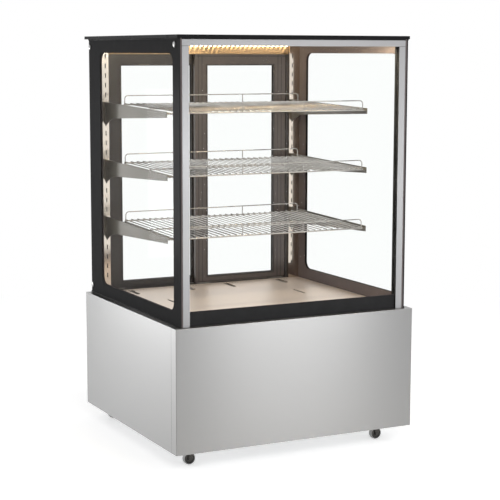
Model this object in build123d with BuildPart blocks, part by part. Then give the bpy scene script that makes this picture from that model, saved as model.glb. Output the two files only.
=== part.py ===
"""Heated display case: a glazed cabinet with wire shelves over a heated steel base on casters.

Millimetres. The origin is on the floor under the middle of the case, +Z is up, and the front faces -Y.
"""

import os
from math import cos, radians, sin

from build123d import *

# Overall size
WIDTH = 760.0
BASE_DEPTH = 695.0
TOP_OVERHANG = 27.0
HEIGHT = 1190.0
BASE_BOTTOM = 45.0
BASE_TOP = 398.0
FRONT_Y = -(BASE_DEPTH + TOP_OVERHANG) / 2
BACK_Y = FRONT_Y + BASE_DEPTH
HALF_WIDTH = WIDTH / 2

# Sheet metal and fits; pins, axles, wheels and their holes have flats, to keep the facets few
SKIN = 1.5
PAN_SHEET = 2.0
SEAM = 0.5
SLIDE_GAP = 0.3
SHAFT_GAP = 0.05
PIN_SIDES = 8
ROUND_SIDES = 24
AXLE_SIDES = 12
WHEEL_SIDES = 36

# Base skins
FRONT_RETURN = 31.5
SIDE_FLANGE = 45.0
BACK_FLANGE = 47.0
PAN_WALL = 60.0

# Glazing
SIDE_LEDGE = 20.0
FRONT_LEDGE = 15.0
SIDE_GLASS = 8.5
FRONT_GLASS = 6.0
FRONT_GLASS_RECESS = 6.0
TOP_PLATE = 9.0
TOP_PLATE_SIDE = 5.0
TOP_PLATE_FRONT = 3.5
TOP_PLATE_CORNER = 3.0
TOP_PLATE_BEVEL = 0.8
POST_WIDTH = 20.0
POST_DEPTH = 24.0
RAIL_HEIGHT = 21.0
RAIL_DEPTH = 34.0
FRAME_WALL = 2.0
GLASS_OUT = HALF_WIDTH - SIDE_LEDGE
GLASS_IN = GLASS_OUT - SIDE_GLASS
POST_OUT = GLASS_IN - SLIDE_GAP
FACE_Y = FRONT_Y + FRONT_LEDGE
PANE_Y = FACE_Y + FRONT_GLASS_RECESS
TOP_UNDERSIDE = HEIGHT - TOP_PLATE
RAIL_BOTTOM = TOP_UNDERSIDE - RAIL_HEIGHT

# Glass fixing caps
CAP_RADIUS = 9.0
CAP_HEIGHT = 4.0
CAP_BEVEL = 1.5
CAP_STUD = 3.5
CAP_BACK_INSET = 11.0
CAP_END_INSET = 24.0
CAP_FRONT_INSET = 28.0
CAP_TOP_INSET = 17.0

# Deck and ceiling
DECK_RISE = 4.0
DECK_SHEET = 1.5
DECK_SLOT_LENGTH = 76.0
DECK_SLOT_WIDTH = 8.0
DECK_SLOT_BEVEL = 2.0
DECK_BACK_SLOT_INSET = 61.0
DECK_FRONT_SLOT_INSET = 116.0
DECK_SLOT_X = (-258.0, -71.0, 71.0, 258.0)
DECK_SIDE_SLOT_X = (-215.0, 215.0)
DECK_SIDE_SLOT_Y = 32.0
DECK_HOLE_WIDTH = 4.0
DECK_HOLE_LENGTH = 16.0
DECK_HOLE_PITCH = 30.0
DECK_HOLE_COUNT = 20
DECK_HOLE_INSET = 13.0
CEILING_DROP = 9.0
DECK_TOP = BASE_TOP + DECK_RISE
CEILING = TOP_UNDERSIDE - CEILING_DROP

# Lamp under the ceiling, behind the top rail; its channel is open below and to the rear
LAMP_END_INSET = 31.2
LAMP_WIDTH = 16.0
LAMP_HEIGHT = 11.0
LAMP_WALL = 1.5
BOARD_SHEET = 1.5
BOARD_END_GAP = 1.0

# Back frame and sliding doors
DOOR_THICK = 13.0
DOOR_STILE = 39.0
DOOR_TOP_RAIL = 34.0
DOOR_BOTTOM_RAIL = 18.0
DOOR_GLASS = 4.0
DOOR_REBATE = 6.0
DOOR_PULL_DEPTH = 5.0
DOOR_PULL_WIDTH = 14.0
DOOR_PULL_LENGTH = 160.0
TRACK_WALL = 2.0
TRACK_MARGIN = 1.5
SILL_HEIGHT = 6.0
SILL_FLOOR = 2.0
GLIDE_LENGTH = 40.0
GLIDE_INSET = 30.0
GLIDE_SIDE_GAP = 0.5
GUIDE_HEIGHT = 12.0
HEAD_DEPTH = 41.0
JAMB_WIDTH = 45.2
JAMB_GAP = 1.5
JAMB_IN = POST_OUT - JAMB_WIDTH
DOOR_EDGE = JAMB_IN - JAMB_GAP
DOOR_WIDTH = DOOR_EDGE + DOOR_STILE / 2
TRACK_BACK = BACK_Y - 2.0
OUTER_DOOR_Y = TRACK_BACK - TRACK_WALL - TRACK_MARGIN - DOOR_THICK / 2
INNER_DOOR_Y = OUTER_DOOR_Y - DOOR_THICK - 2 * TRACK_MARGIN - TRACK_WALL
TRACK_FRONT = INNER_DOOR_Y - DOOR_THICK / 2 - TRACK_MARGIN - TRACK_WALL
HEAD_BOTTOM = TOP_UNDERSIDE - HEAD_DEPTH
DOOR_BOTTOM = BASE_TOP + SILL_HEIGHT + SLIDE_GAP
DOOR_TOP = HEAD_BOTTOM - SLIDE_GAP

# Slotted uprights
UPRIGHT_WIDTH = 37.5
UPRIGHT_DEPTH = 8.0
UPRIGHT_SHEET = 1.5
SLOT_INSET = 27.2
SLOT_PITCH = 29.4
SLOT_HEIGHT = 14.0
SLOT_WIDTH = 3.0
SLOTS_PER_LEVEL = 6
FIRST_SLOT_RISE = 45.0
UPRIGHT_Y = TRACK_FRONT - UPRIGHT_DEPTH
SLOT_X = POST_OUT - SLOT_INSET
FIRST_SLOT_Z = DECK_TOP + FIRST_SLOT_RISE
SLOT_COUNT = int((CEILING - FIRST_SLOT_Z) / SLOT_PITCH)

# Brackets and shelves
LEVELS = ("bottom", "middle", "top")
SHELF_TILT = 1.5
LOWEST_ARM_RISE = 191.0
BRACKET_SHEET = 2.0
BRACKET_SETBACK = 20.0
LEDGE_DROP = 6.0
LEDGE_BEARING = 6.0
BRACKET_NOSE = 17.0
BRACKET_DEEP = 46.0
BRACKET_LUG = 72.0
BRACKET_LUG_LENGTH = 60.0
HOOK_HEIGHT = 9.0
HOOK_DROP = 4.0
HOOK_ROOT = 1.0
HOOKS = 2
LUG_BEND_Y = 27.0
LUG_BEND_Z = 56.0
WIRE = 3.0
ROD = 4.5
SHELF_SIDE_GAP = 24.0
SHELF_DEPTH = 403.0
SHELF_BACK_INSET = 86.5
WIRE_COUNT = 31
FENCE_HEIGHT = 22.0
FENCE_RADIUS = 10.0
FENCE_POST_WIRE = 5
LOWEST_ARM_Z = FIRST_SLOT_Z + LOWEST_ARM_RISE
SHELF_LENGTH = 2 * (SLOT_X - SHELF_SIDE_GAP)
SHELF_FRONT_Y = UPRIGHT_Y - SHELF_BACK_INSET - SHELF_DEPTH
BRACKET_FRONT_Y = SHELF_FRONT_Y + BRACKET_SETBACK

# Casters
WHEEL_RADIUS = 17.5
WHEEL_WIDTH = 14.0
AXLE_RADIUS = 3.0
CASTER_SIDE_INSET = 75.0
CASTER_INSET = 58.5
CASTER_TRAIL = 11.5
CASTER_PLATE = 42.0
CASTER_PLATE_SHEET = 2.0
FORK_SHEET = 1.6
FORK_GAP = 0.5
FORK_CROWN_TOP = 38.2
RACE_RADIUS = 14.0
KINGPIN_RADIUS = 3.0
KINGPIN_HEAD = 4.5
KINGPIN_HEAD_HEIGHT = 1.2
PLATE_BOLT_INSET = 5.5
PLATE_BOLT = 3.6
PLATE_BOLT_HEIGHT = 2.0
CROWN_FRONT = 8.0
CROWN_BEVEL = 4.0
CHEEK_FOOT = 5.5
AXLE_HEAD = 4.2
AXLE_HEAD_HEIGHT = 1.2
TYRE_BEVEL = 1.5
CASTER_X = HALF_WIDTH - CASTER_SIDE_INSET

# Heated plenum under the deck
TUB_SHEET = 1.5
TUB_SIDE_INSET = 50.0
TUB_FRONT_INSET = 43.0
TUB_BACK_INSET = 50.0
TUB_DEPTH = 113.0
TUB_FLANGE = 12.0
BAFFLE_INSET = 134.0
FAN_SIZE = 92.0
FAN_DEPTH = 25.0
FAN_BORE = 43.0
FAN_BLADES = 7
FAN_HUB = 19.0
FAN_SHAFT = 2.0
FAN_TIP_GAP = 1.5
FAN_CORNER = 5.0
FAN_SPOKE = 4.0
FAN_SPOKES = 4
HUB_SIDES = 2 * FAN_BLADES
BLADE_CHORD = 18.0
BLADE_SHEET = 1.6
BLADE_PITCH = 35.0
BLADE_ROOT = 1.0
ELEMENT_RADIUS = 4.0
ELEMENT_TAIL = 15.0
ELEMENT_SIDES = 4
ELEMENT_RISE = 55.0
ELEMENT_END_INSET = 90.0
ELEMENT_PASSES = 4
ELEMENT_PITCH = 100.0
ELEMENT_FIRST_INSET = 58.0
STAND_X = 150.0
STAND_SHEET = 2.0
STAND_MARGIN = 16.0
TUB_HALF_WIDTH = HALF_WIDTH - TUB_SIDE_INSET
TUB_FRONT = FRONT_Y + TUB_FRONT_INSET
TUB_BACK = BACK_Y - TUB_BACK_INSET
TUB_BOTTOM = BASE_TOP - TUB_DEPTH
BAFFLE_Y = TUB_BACK - BAFFLE_INSET
ELEMENT_Z = TUB_BOTTOM + ELEMENT_RISE
ELEMENT_REACH = TUB_HALF_WIDTH - ELEMENT_END_INSET
ELEMENT_FIRST_Y = TUB_FRONT + ELEMENT_FIRST_INSET

# Controls on the back panel
CONTROL_RISE = 150.0
BOX_INSET = 140.0
BOX_WIDTH = 170.0
BOX_HEIGHT = 110.0
BOX_DEPTH = 70.0
BOX_SHEET = 1.5
SWITCH_WIDTH = 22.0
SWITCH_HEIGHT = 28.0
SWITCH_BEZEL = 3.0
SWITCH_DEPTH = 20.0
POWER_OFFSET = -60.0
LIGHT_OFFSET = -20.0
ROCK_ANGLE = 8.0
ROCKER_PIVOT = -1.5
ROCKER_PIN = 1.0
ROCKER_FOOT = 7.0
ROCKER_FOOT_HALF = 4.0
ROCKER_LIP = 6.5
ROCKER_DIP = 4.0
ROCKER_END_GAP = 2.0
ROCKER_SIDE_GAP = 0.9
BEZEL_HEIGHT = 2.0
THERMOSTAT_OFFSET = 42.0
THERMOSTAT_BODY = 44.0
THERMOSTAT_DEPTH = 34.0
KNOB_RADIUS = 17.0
KNOB_HEIGHT = 15.0
KNOB_SHAFT = 3.0
SHAFT_HOLE_GAP = 1.0
KNOB_SIDES = 12
KNOB_TAPER = 4.0
POINTER_WIDTH = 1.6
POINTER_DEPTH = 1.0
POINTER_INSET = 3.0
INLET_INSET = 130.0
INLET_RISE = 85.0
INLET_WIDTH = 50.0
INLET_HEIGHT = 30.0
INLET_BODY_WIDTH = 28.0
INLET_BODY_HEIGHT = 20.0
INLET_DEPTH = 26.0
INLET_FACE = 3.0
INLET_WELL = 18.0
INLET_PIN_GAP = 7.0
INLET_PIN_DROP = 2.0
INLET_PIN_WIDTH = 2.0
INLET_PIN_HEIGHT = 4.0
INLET_PIN_SINK = 4.0
LOUVRE_LENGTH = 120.0
LOUVRE_HEIGHT = 5.0
LOUVRE_PITCH = 16.0
LOUVRE_COUNT = 6
LOUVRE_X = 110.0
LOUVRE_DROP = 88.0
LOUVRE_HOOD = 4.0
CONTROL_Z = BASE_BOTTOM + CONTROL_RISE
BOX_CENTRE_X = HALF_WIDTH - BOX_INSET
POWER_X = BOX_CENTRE_X + POWER_OFFSET
LIGHT_X = BOX_CENTRE_X + LIGHT_OFFSET
THERMOSTAT_X = BOX_CENTRE_X + THERMOSTAT_OFFSET
INLET_X = INLET_INSET - HALF_WIDTH
INLET_Z = BASE_BOTTOM + INLET_RISE
LOUVRE_Z = BASE_TOP - LOUVRE_DROP

PANEL_BACK = BACK_Y - SKIN
SIDES = (("left", -1), ("right", 1))

os.makedirs("parts", exist_ok=True)


def block(x, y, z, mode=Mode.ADD):
    """A plain block between two values on each axis."""
    with BuildSketch(Plane.XY.offset(min(z))) as outline:
        with Locations(((x[0] + x[1]) / 2, (y[0] + y[1]) / 2)):
            Rectangle(abs(x[1] - x[0]), abs(y[1] - y[0]))
    extrude(outline.sketch, amount=abs(z[1] - z[0]), mode=mode)


def profile_along_x(points, x, mode=Mode.ADD):
    """A polygon of (y, z) points drawn out between two x values."""
    with BuildSketch(Plane.YZ.offset(min(x))) as outline:
        with BuildLine():
            Polyline(*points, close=True)
        make_face()
    extrude(outline.sketch, amount=abs(x[1] - x[0]), mode=mode)


def profile_along_z(points, z, mode=Mode.ADD):
    """A polygon of (x, y) points drawn up between two z values."""
    with BuildSketch(Plane.XY.offset(min(z))) as outline:
        with BuildLine():
            Polyline(*points, close=True)
        make_face()
    extrude(outline.sketch, amount=abs(z[1] - z[0]), mode=mode)


def prism(place, radius, length, sides=PIN_SIDES, mode=Mode.ADD):
    """A bar with flats along a plane's normal; a cut one has its flats at the radius."""
    with BuildSketch(place) as section:
        RegularPolygon(radius, sides, major_radius=mode != Mode.SUBTRACT)
    extrude(section.sketch, amount=length, mode=mode)


def write(piece, name):
    """Label a finished piece and write its file."""
    piece.part.label = name
    export_step(piece.part, "parts/" + name + ".step")


# Base: a folded pan, a front skin that wraps the corners, two side skins and a louvred back
with BuildPart() as base_pan:
    inner_x = HALF_WIDTH - SKIN
    block((-inner_x, inner_x), (FRONT_Y + SKIN, PANEL_BACK), (BASE_BOTTOM, BASE_BOTTOM + PAN_WALL))
    offset(amount=-PAN_SHEET, openings=base_pan.faces().sort_by(Axis.Z)[-1])
write(base_pan, "base_pan")

with BuildPart() as base_front_panel:
    outer_x = HALF_WIDTH
    return_y = FRONT_Y + FRONT_RETURN
    profile_along_z(
        (
            (-outer_x, return_y),
            (-outer_x, FRONT_Y),
            (outer_x, FRONT_Y),
            (outer_x, return_y),
            (outer_x - SKIN, return_y),
            (outer_x - SKIN, FRONT_Y + SKIN),
            (SKIN - outer_x, FRONT_Y + SKIN),
            (SKIN - outer_x, return_y),
        ),
        (BASE_BOTTOM, BASE_TOP),
    )
    block((SKIN - outer_x, outer_x - SKIN), (FRONT_Y + SKIN, return_y), (BASE_TOP - SKIN, BASE_TOP))
    fillet(base_front_panel.edges().filter_by(Axis.Z).group_by(Axis.Y)[0], radius=SKIN)
write(base_front_panel, "base_front_panel")

for side, sign in SIDES:
    with BuildPart() as base_side_panel:
        flange_x = HALF_WIDTH - SIDE_FLANGE
        front_y = FRONT_Y + FRONT_RETURN + SEAM
        block(
            (sign * (HALF_WIDTH - SKIN), sign * HALF_WIDTH),
            (front_y, BACK_Y),
            (BASE_BOTTOM, BASE_TOP),
        )
        block(
            (sign * flange_x, sign * (HALF_WIDTH - SKIN)),
            (front_y, PANEL_BACK),
            (BASE_TOP - SKIN, BASE_TOP),
        )
    write(base_side_panel, "base_side_panel_" + side)

with BuildPart() as base_back_panel:
    half_panel = HALF_WIDTH - SKIN
    half_flange = HALF_WIDTH - SIDE_FLANGE - SEAM
    flange_front = PANEL_BACK - BACK_FLANGE
    block((-half_panel, half_panel), (PANEL_BACK, BACK_Y), (BASE_BOTTOM, BASE_TOP - SKIN))
    block((-half_flange, half_flange), (flange_front, BACK_Y), (BASE_TOP - SKIN, BASE_TOP))
    louvre_rows = [LOUVRE_Z + (row - (LOUVRE_COUNT - 1) / 2) * LOUVRE_PITCH for row in range(LOUVRE_COUNT)]
    for louvre_z in louvre_rows:
        for centre_x in (-LOUVRE_X, LOUVRE_X):
            ends = (centre_x - LOUVRE_LENGTH / 2, centre_x + LOUVRE_LENGTH / 2)
            block(ends, (PANEL_BACK, BACK_Y), (louvre_z, louvre_z + LOUVRE_HEIGHT), Mode.SUBTRACT)
            profile_along_x(
                (
                    (BACK_Y, louvre_z + LOUVRE_HEIGHT + LOUVRE_HOOD),
                    (BACK_Y + LOUVRE_HOOD, louvre_z),
                    (BACK_Y + LOUVRE_HOOD - SKIN, louvre_z),
                    (BACK_Y - SKIN, louvre_z + LOUVRE_HEIGHT + LOUVRE_HOOD / 2),
                    (BACK_Y - SKIN, louvre_z + LOUVRE_HEIGHT + LOUVRE_HOOD),
                ),
                ends,
            )
    for switch_x in (POWER_X, LIGHT_X):
        block(
            (switch_x - SWITCH_WIDTH / 2, switch_x + SWITCH_WIDTH / 2),
            (PANEL_BACK, BACK_Y),
            (CONTROL_Z - SWITCH_HEIGHT / 2, CONTROL_Z + SWITCH_HEIGHT / 2),
            Mode.SUBTRACT,
        )
    block(
        (INLET_X - INLET_BODY_WIDTH / 2, INLET_X + INLET_BODY_WIDTH / 2),
        (PANEL_BACK, BACK_Y),
        (INLET_Z - INLET_BODY_HEIGHT / 2, INLET_Z + INLET_BODY_HEIGHT / 2),
        Mode.SUBTRACT,
    )
    shaft_hole = Plane((THERMOSTAT_X, PANEL_BACK, CONTROL_Z), x_dir=(1, 0, 0), z_dir=(0, 1, 0))
    prism(shaft_hole, KNOB_SHAFT + SHAFT_HOLE_GAP, SKIN, mode=Mode.SUBTRACT)
write(base_back_panel, "base_back_panel")

# Glazed upper case
for side, sign in SIDES:
    with BuildPart() as side_glass:
        block((sign * GLASS_IN, sign * GLASS_OUT), (FACE_Y, BACK_Y), (BASE_TOP, TOP_UNDERSIDE))
        cap_places = (
            (BACK_Y - CAP_BACK_INSET, BASE_TOP + CAP_END_INSET),
            (BACK_Y - CAP_BACK_INSET, TOP_UNDERSIDE - CAP_END_INSET),
            (FACE_Y + CAP_FRONT_INSET, TOP_UNDERSIDE - CAP_TOP_INSET),
        )
        for cap_y, cap_z in cap_places:
            hole = Plane((sign * GLASS_IN, cap_y, cap_z), x_dir=(0, 1, 0), z_dir=(sign, 0, 0))
            prism(hole, CAP_STUD + SLIDE_GAP, SIDE_GLASS, mode=Mode.SUBTRACT)
    write(side_glass, "side_glass_" + side)

with BuildPart() as front_glass:
    half_pane = POST_OUT - POST_WIDTH - SLIDE_GAP
    block((-half_pane, half_pane), (PANE_Y, PANE_Y + FRONT_GLASS), (BASE_TOP, RAIL_BOTTOM))
write(front_glass, "front_glass")

for side, sign in SIDES:
    with BuildPart() as front_post:
        block(
            (sign * (POST_OUT - POST_WIDTH), sign * POST_OUT),
            (FACE_Y, FACE_Y + POST_DEPTH),
            (BASE_TOP, RAIL_BOTTOM),
        )
        block(
            (sign * (POST_OUT - POST_WIDTH + FRAME_WALL), sign * (POST_OUT - FRAME_WALL)),
            (FACE_Y + FRAME_WALL, FACE_Y + POST_DEPTH - FRAME_WALL),
            (BASE_TOP, RAIL_BOTTOM),
            Mode.SUBTRACT,
        )
    write(front_post, "front_post_" + side)

with BuildPart() as front_top_rail:
    block((-POST_OUT, POST_OUT), (FACE_Y, FACE_Y + RAIL_DEPTH), (RAIL_BOTTOM, TOP_UNDERSIDE))
    block(
        (-POST_OUT, POST_OUT),
        (FACE_Y + FRAME_WALL, FACE_Y + RAIL_DEPTH - FRAME_WALL),
        (RAIL_BOTTOM + FRAME_WALL, TOP_UNDERSIDE - FRAME_WALL),
        Mode.SUBTRACT,
    )
write(front_top_rail, "front_top_rail")

with BuildPart() as top_plate:
    half_top = GLASS_OUT + TOP_PLATE_SIDE
    top_front = FACE_Y - TOP_PLATE_FRONT
    block((-half_top, half_top), (top_front, BACK_Y + TOP_OVERHANG), (TOP_UNDERSIDE, HEIGHT))
    fillet(top_plate.edges().filter_by(Axis.Z), radius=TOP_PLATE_CORNER)
    chamfer(top_plate.faces().sort_by(Axis.Z)[-1].edges(), length=TOP_PLATE_BEVEL)
write(top_plate, "top_plate")

with BuildPart() as glass_caps:
    for side, sign in SIDES:
        for cap_y, cap_z in cap_places:
            inner_place = Plane((sign * GLASS_IN, cap_y, cap_z), x_dir=(0, 1, 0), z_dir=(sign, 0, 0))
            prism(inner_place, CAP_STUD, SIDE_GLASS)
            prism(inner_place.offset(SIDE_GLASS), CAP_RADIUS, CAP_HEIGHT, sides=ROUND_SIDES)
    outer_faces = glass_caps.faces().group_by(Axis.X)
    for outer_face in outer_faces[0] + outer_faces[-1]:
        chamfer(outer_face.edges(), length=CAP_BEVEL)
write(glass_caps, "glass_caps")

# Deck, ceiling and lamp
with BuildPart() as deck_panel:
    deck_half = GLASS_IN - SLIDE_GAP
    deck_front = PANE_Y + FRONT_GLASS + SLIDE_GAP
    deck_back = TRACK_FRONT - SLIDE_GAP
    block((-deck_half, deck_half), (deck_front, deck_back), (BASE_TOP, DECK_TOP))
    offset(amount=-DECK_SHEET, openings=deck_panel.faces().sort_by(Axis.Z)[0])
    for post_x in (-POST_OUT, POST_OUT):
        block(
            (post_x - POST_WIDTH - SLIDE_GAP, post_x + POST_WIDTH + SLIDE_GAP),
            (deck_front, FACE_Y + POST_DEPTH + SLIDE_GAP),
            (BASE_TOP, DECK_TOP),
            Mode.SUBTRACT,
        )
    slot_rows = (
        (DECK_SLOT_X, TRACK_FRONT - DECK_BACK_SLOT_INSET),
        (DECK_SIDE_SLOT_X, DECK_SIDE_SLOT_Y),
        (DECK_SLOT_X, FACE_Y + DECK_FRONT_SLOT_INSET),
    )
    for row_x, row_y in slot_rows:
        with BuildSketch(Plane.XY.offset(BASE_TOP)) as slots:
            with Locations(*[(slot_x, row_y) for slot_x in row_x]):
                Rectangle(DECK_SLOT_WIDTH, DECK_SLOT_LENGTH)
            chamfer(slots.vertices(), length=DECK_SLOT_BEVEL)
        extrude(slots.sketch, amount=DECK_RISE, mode=Mode.SUBTRACT)
    with BuildSketch(Plane.XY.offset(BASE_TOP)) as holes:
        with Locations((0, TRACK_FRONT - DECK_HOLE_INSET)):
            with GridLocations(DECK_HOLE_PITCH, 1, DECK_HOLE_COUNT, 1):
                Rectangle(DECK_HOLE_LENGTH, DECK_HOLE_WIDTH)
    extrude(holes.sketch, amount=DECK_RISE, mode=Mode.SUBTRACT)
write(deck_panel, "deck_panel")

with BuildPart() as ceiling_panel:
    ceiling_front = FACE_Y + RAIL_DEPTH + SLIDE_GAP
    block((-deck_half, deck_half), (ceiling_front, deck_back), (CEILING, TOP_UNDERSIDE))
    offset(amount=-DECK_SHEET, openings=ceiling_panel.faces().sort_by(Axis.Z)[-1])
write(ceiling_panel, "ceiling_panel")

LAMP_BOTTOM = CEILING - LAMP_HEIGHT
LAMP_Y = ceiling_front + LAMP_WIDTH / 2
with BuildPart() as lamp_channel:
    half_lamp = POST_OUT - LAMP_END_INSET
    block((-half_lamp, half_lamp), (LAMP_Y - LAMP_WIDTH / 2, LAMP_Y + LAMP_WIDTH / 2), (LAMP_BOTTOM, CEILING))
    block(
        (-half_lamp, half_lamp),
        (LAMP_Y - LAMP_WIDTH / 2 + LAMP_WALL, LAMP_Y + LAMP_WIDTH / 2),
        (LAMP_BOTTOM, CEILING - LAMP_WALL),
        Mode.SUBTRACT,
    )
write(lamp_channel, "lamp_channel")

with BuildPart() as lamp_board:
    board_half = LAMP_WIDTH / 2 - LAMP_WALL - SLIDE_GAP
    board_top = CEILING - LAMP_WALL
    half_board = half_lamp - BOARD_END_GAP
    board_z = (board_top - BOARD_SHEET, board_top)
    block((-half_board, half_board), (LAMP_Y - board_half, LAMP_Y + board_half), board_z)
write(lamp_board, "lamp_board")

# Back frame: jambs, head and sill tracks, slotted uprights
for side, sign in SIDES:
    with BuildPart() as back_jamb:
        block(
            (sign * JAMB_IN, sign * POST_OUT),
            (TRACK_FRONT, TRACK_BACK),
            (BASE_TOP + SILL_FLOOR, HEAD_BOTTOM),
        )
        block(
            (sign * (JAMB_IN + FRAME_WALL), sign * (POST_OUT - FRAME_WALL)),
            (TRACK_FRONT + FRAME_WALL, TRACK_BACK - FRAME_WALL),
            (BASE_TOP, HEAD_BOTTOM),
            Mode.SUBTRACT,
        )
    write(back_jamb, "back_jamb_" + side)

TRACK_MIDDLE = (INNER_DOOR_Y + OUTER_DOOR_Y) / 2
TRACK_RIBS = (
    (TRACK_FRONT, TRACK_FRONT + TRACK_WALL),
    (TRACK_MIDDLE - TRACK_WALL / 2, TRACK_MIDDLE + TRACK_WALL / 2),
    (TRACK_BACK - TRACK_WALL, TRACK_BACK),
)
with BuildPart() as door_sill_track:
    block((-POST_OUT, POST_OUT), (TRACK_FRONT, TRACK_BACK), (BASE_TOP, BASE_TOP + SILL_FLOOR))
    for rib in TRACK_RIBS:
        block((-JAMB_IN + SLIDE_GAP, JAMB_IN - SLIDE_GAP), rib, (BASE_TOP, BASE_TOP + SILL_HEIGHT))
write(door_sill_track, "door_sill_track")

with BuildPart() as door_head_track:
    block((-POST_OUT, POST_OUT), (TRACK_FRONT, TRACK_BACK), (TOP_UNDERSIDE - FRAME_WALL, TOP_UNDERSIDE))
    for rib in TRACK_RIBS:
        block((-POST_OUT, POST_OUT), rib, (HEAD_BOTTOM, TOP_UNDERSIDE))
write(door_head_track, "door_head_track")

for side, sign in SIDES:
    with BuildPart() as upright:
        inside_x = sign * (POST_OUT - UPRIGHT_WIDTH)
        block((inside_x, sign * POST_OUT), (UPRIGHT_Y, TRACK_FRONT), (DECK_TOP, CEILING))
        block(
            (inside_x + sign * UPRIGHT_SHEET, sign * (POST_OUT - UPRIGHT_SHEET)),
            (UPRIGHT_Y + UPRIGHT_SHEET, TRACK_FRONT),
            (DECK_TOP, CEILING),
            Mode.SUBTRACT,
        )
        for slot in range(SLOT_COUNT):
            slot_z = FIRST_SLOT_Z + slot * SLOT_PITCH
            block(
                (sign * SLOT_X - SLOT_WIDTH / 2, sign * SLOT_X + SLOT_WIDTH / 2),
                (UPRIGHT_Y, UPRIGHT_Y + UPRIGHT_SHEET),
                (slot_z, slot_z + SLOT_HEIGHT),
                Mode.SUBTRACT,
            )
    write(upright, "upright_" + side)

# Shelf brackets: a tapered arm with a lug, two hooks in the upright and a ledge for the shelf
SLOPE = sin(radians(SHELF_TILT)) / cos(radians(SHELF_TILT))
BRACKET_BACK_Y = UPRIGHT_Y - SLIDE_GAP
LEVEL_PITCH = SLOT_PITCH * SLOTS_PER_LEVEL


def arm_top(level_z, y):
    """Height of a bracket's top edge at a place along its length."""
    return level_z + (y - BRACKET_BACK_Y) * SLOPE


for level, level_name in enumerate(LEVELS):
    level_z = LOWEST_ARM_Z + level * LEVEL_PITCH
    for side, sign in SIDES:
        with BuildPart() as bracket:
            plate_x = sign * SLOT_X - BRACKET_SHEET / 2
            lug_y = BRACKET_BACK_Y - BRACKET_LUG_LENGTH
            with BuildSketch(Plane.YZ.offset(plate_x)) as arm_outline:
                with BuildLine():
                    nose_top = (BRACKET_FRONT_Y, arm_top(level_z, BRACKET_FRONT_Y))
                    nose_low = (BRACKET_FRONT_Y, nose_top[1] - BRACKET_NOSE)
                    lug_start = (lug_y, arm_top(level_z, lug_y) - BRACKET_DEEP)
                    lug_mid = (lug_y + LUG_BEND_Y, level_z - LUG_BEND_Z)
                    lug_low = (BRACKET_BACK_Y, level_z - BRACKET_LUG)
                    Line(nose_top, nose_low)
                    Line(nose_low, lug_start)
                    ThreePointArc(lug_start, lug_mid, lug_low)
                    Line(lug_low, (BRACKET_BACK_Y, level_z))
                    Line((BRACKET_BACK_Y, level_z), nose_top)
                make_face()
            extrude(arm_outline.sketch, amount=BRACKET_SHEET)
            flange_end = SHELF_FRONT_Y + SHELF_DEPTH
            ledge_z = level_z - LEDGE_DROP
            ledge = (
                (BRACKET_FRONT_Y, arm_top(ledge_z, BRACKET_FRONT_Y)),
                (flange_end, arm_top(ledge_z, flange_end)),
                (flange_end, arm_top(ledge_z, flange_end) - BRACKET_SHEET),
                (BRACKET_FRONT_Y, arm_top(ledge_z, BRACKET_FRONT_Y) - BRACKET_SHEET),
            )
            profile_along_x(ledge, (sign * (SHELF_LENGTH / 2 - LEDGE_BEARING), sign * SLOT_X))
            first_hook = level_z - HOOK_HEIGHT - HOOK_DROP
            for hook in range(HOOKS):
                hook_z = FIRST_SLOT_Z + SLOT_PITCH * round((first_hook - FIRST_SLOT_Z) / SLOT_PITCH - hook)
                foot_z = hook_z + SLIDE_GAP
                back_of_sheet = UPRIGHT_Y + UPRIGHT_SHEET + SLIDE_GAP
                hook_points = (
                    (BRACKET_BACK_Y - HOOK_ROOT, foot_z + HOOK_HEIGHT),
                    (back_of_sheet + BRACKET_SHEET, foot_z + HOOK_HEIGHT),
                    (back_of_sheet + BRACKET_SHEET, foot_z - HOOK_DROP),
                    (back_of_sheet, foot_z - HOOK_DROP),
                    (back_of_sheet, foot_z),
                    (BRACKET_BACK_Y - HOOK_ROOT, foot_z),
                )
                profile_along_x(hook_points, (plate_x, plate_x + BRACKET_SHEET))
        write(bracket, "bracket_" + side + "_" + level_name)

# Wire shelf, drawn flat with its front rod's foot on the ledge line; wires are square and laid face to face
with BuildPart() as shelf_rods:
    rod_half = SHELF_LENGTH / 2
    with BuildSketch(Plane.YZ.offset(-rod_half)) as rod_section:
        with Locations((SHELF_DEPTH / 2, ROD / 2)):
            with GridLocations((SHELF_DEPTH - ROD) / 2, 1, 3, 1):
                Rectangle(ROD, ROD)
    extrude(rod_section.sketch, amount=SHELF_LENGTH)

with BuildPart() as shelf_wires:
    wire_pitch = (SHELF_LENGTH - 2 * WIRE) / (WIRE_COUNT - 1)
    with BuildSketch(Plane.XZ) as wire_section:
        with Locations((0, ROD + WIRE / 2)):
            with GridLocations(wire_pitch, 1, WIRE_COUNT, 1):
                Rectangle(WIRE, WIRE)
    extrude(wire_section.sketch, amount=-SHELF_DEPTH)

with BuildPart() as shelf_fences:
    fence_foot = ROD + WIRE
    fence_top = fence_foot + FENCE_HEIGHT
    leg_x = rod_half - WIRE
    for fence_y in (WIRE / 2, SHELF_DEPTH - WIRE / 2):
        with BuildLine() as fence_path:
            FilletPolyline(
                (-leg_x, fence_y, fence_foot),
                (-leg_x, fence_y, fence_top),
                (leg_x, fence_y, fence_top),
                (leg_x, fence_y, fence_foot),
                radius=FENCE_RADIUS,
            )
        with BuildSketch(fence_path.line ^ 0) as fence_section:
            Rectangle(WIRE, WIRE)
        sweep(fence_section.sketch, path=fence_path.line)
        with BuildSketch(Plane.XY.offset(fence_foot)) as post_section:
            with Locations((0, fence_y)):
                with GridLocations(2 * FENCE_POST_WIRE * wire_pitch, 1, 2, 1):
                    Rectangle(WIRE, WIRE)
        extrude(post_section.sketch, amount=FENCE_HEIGHT)

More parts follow.
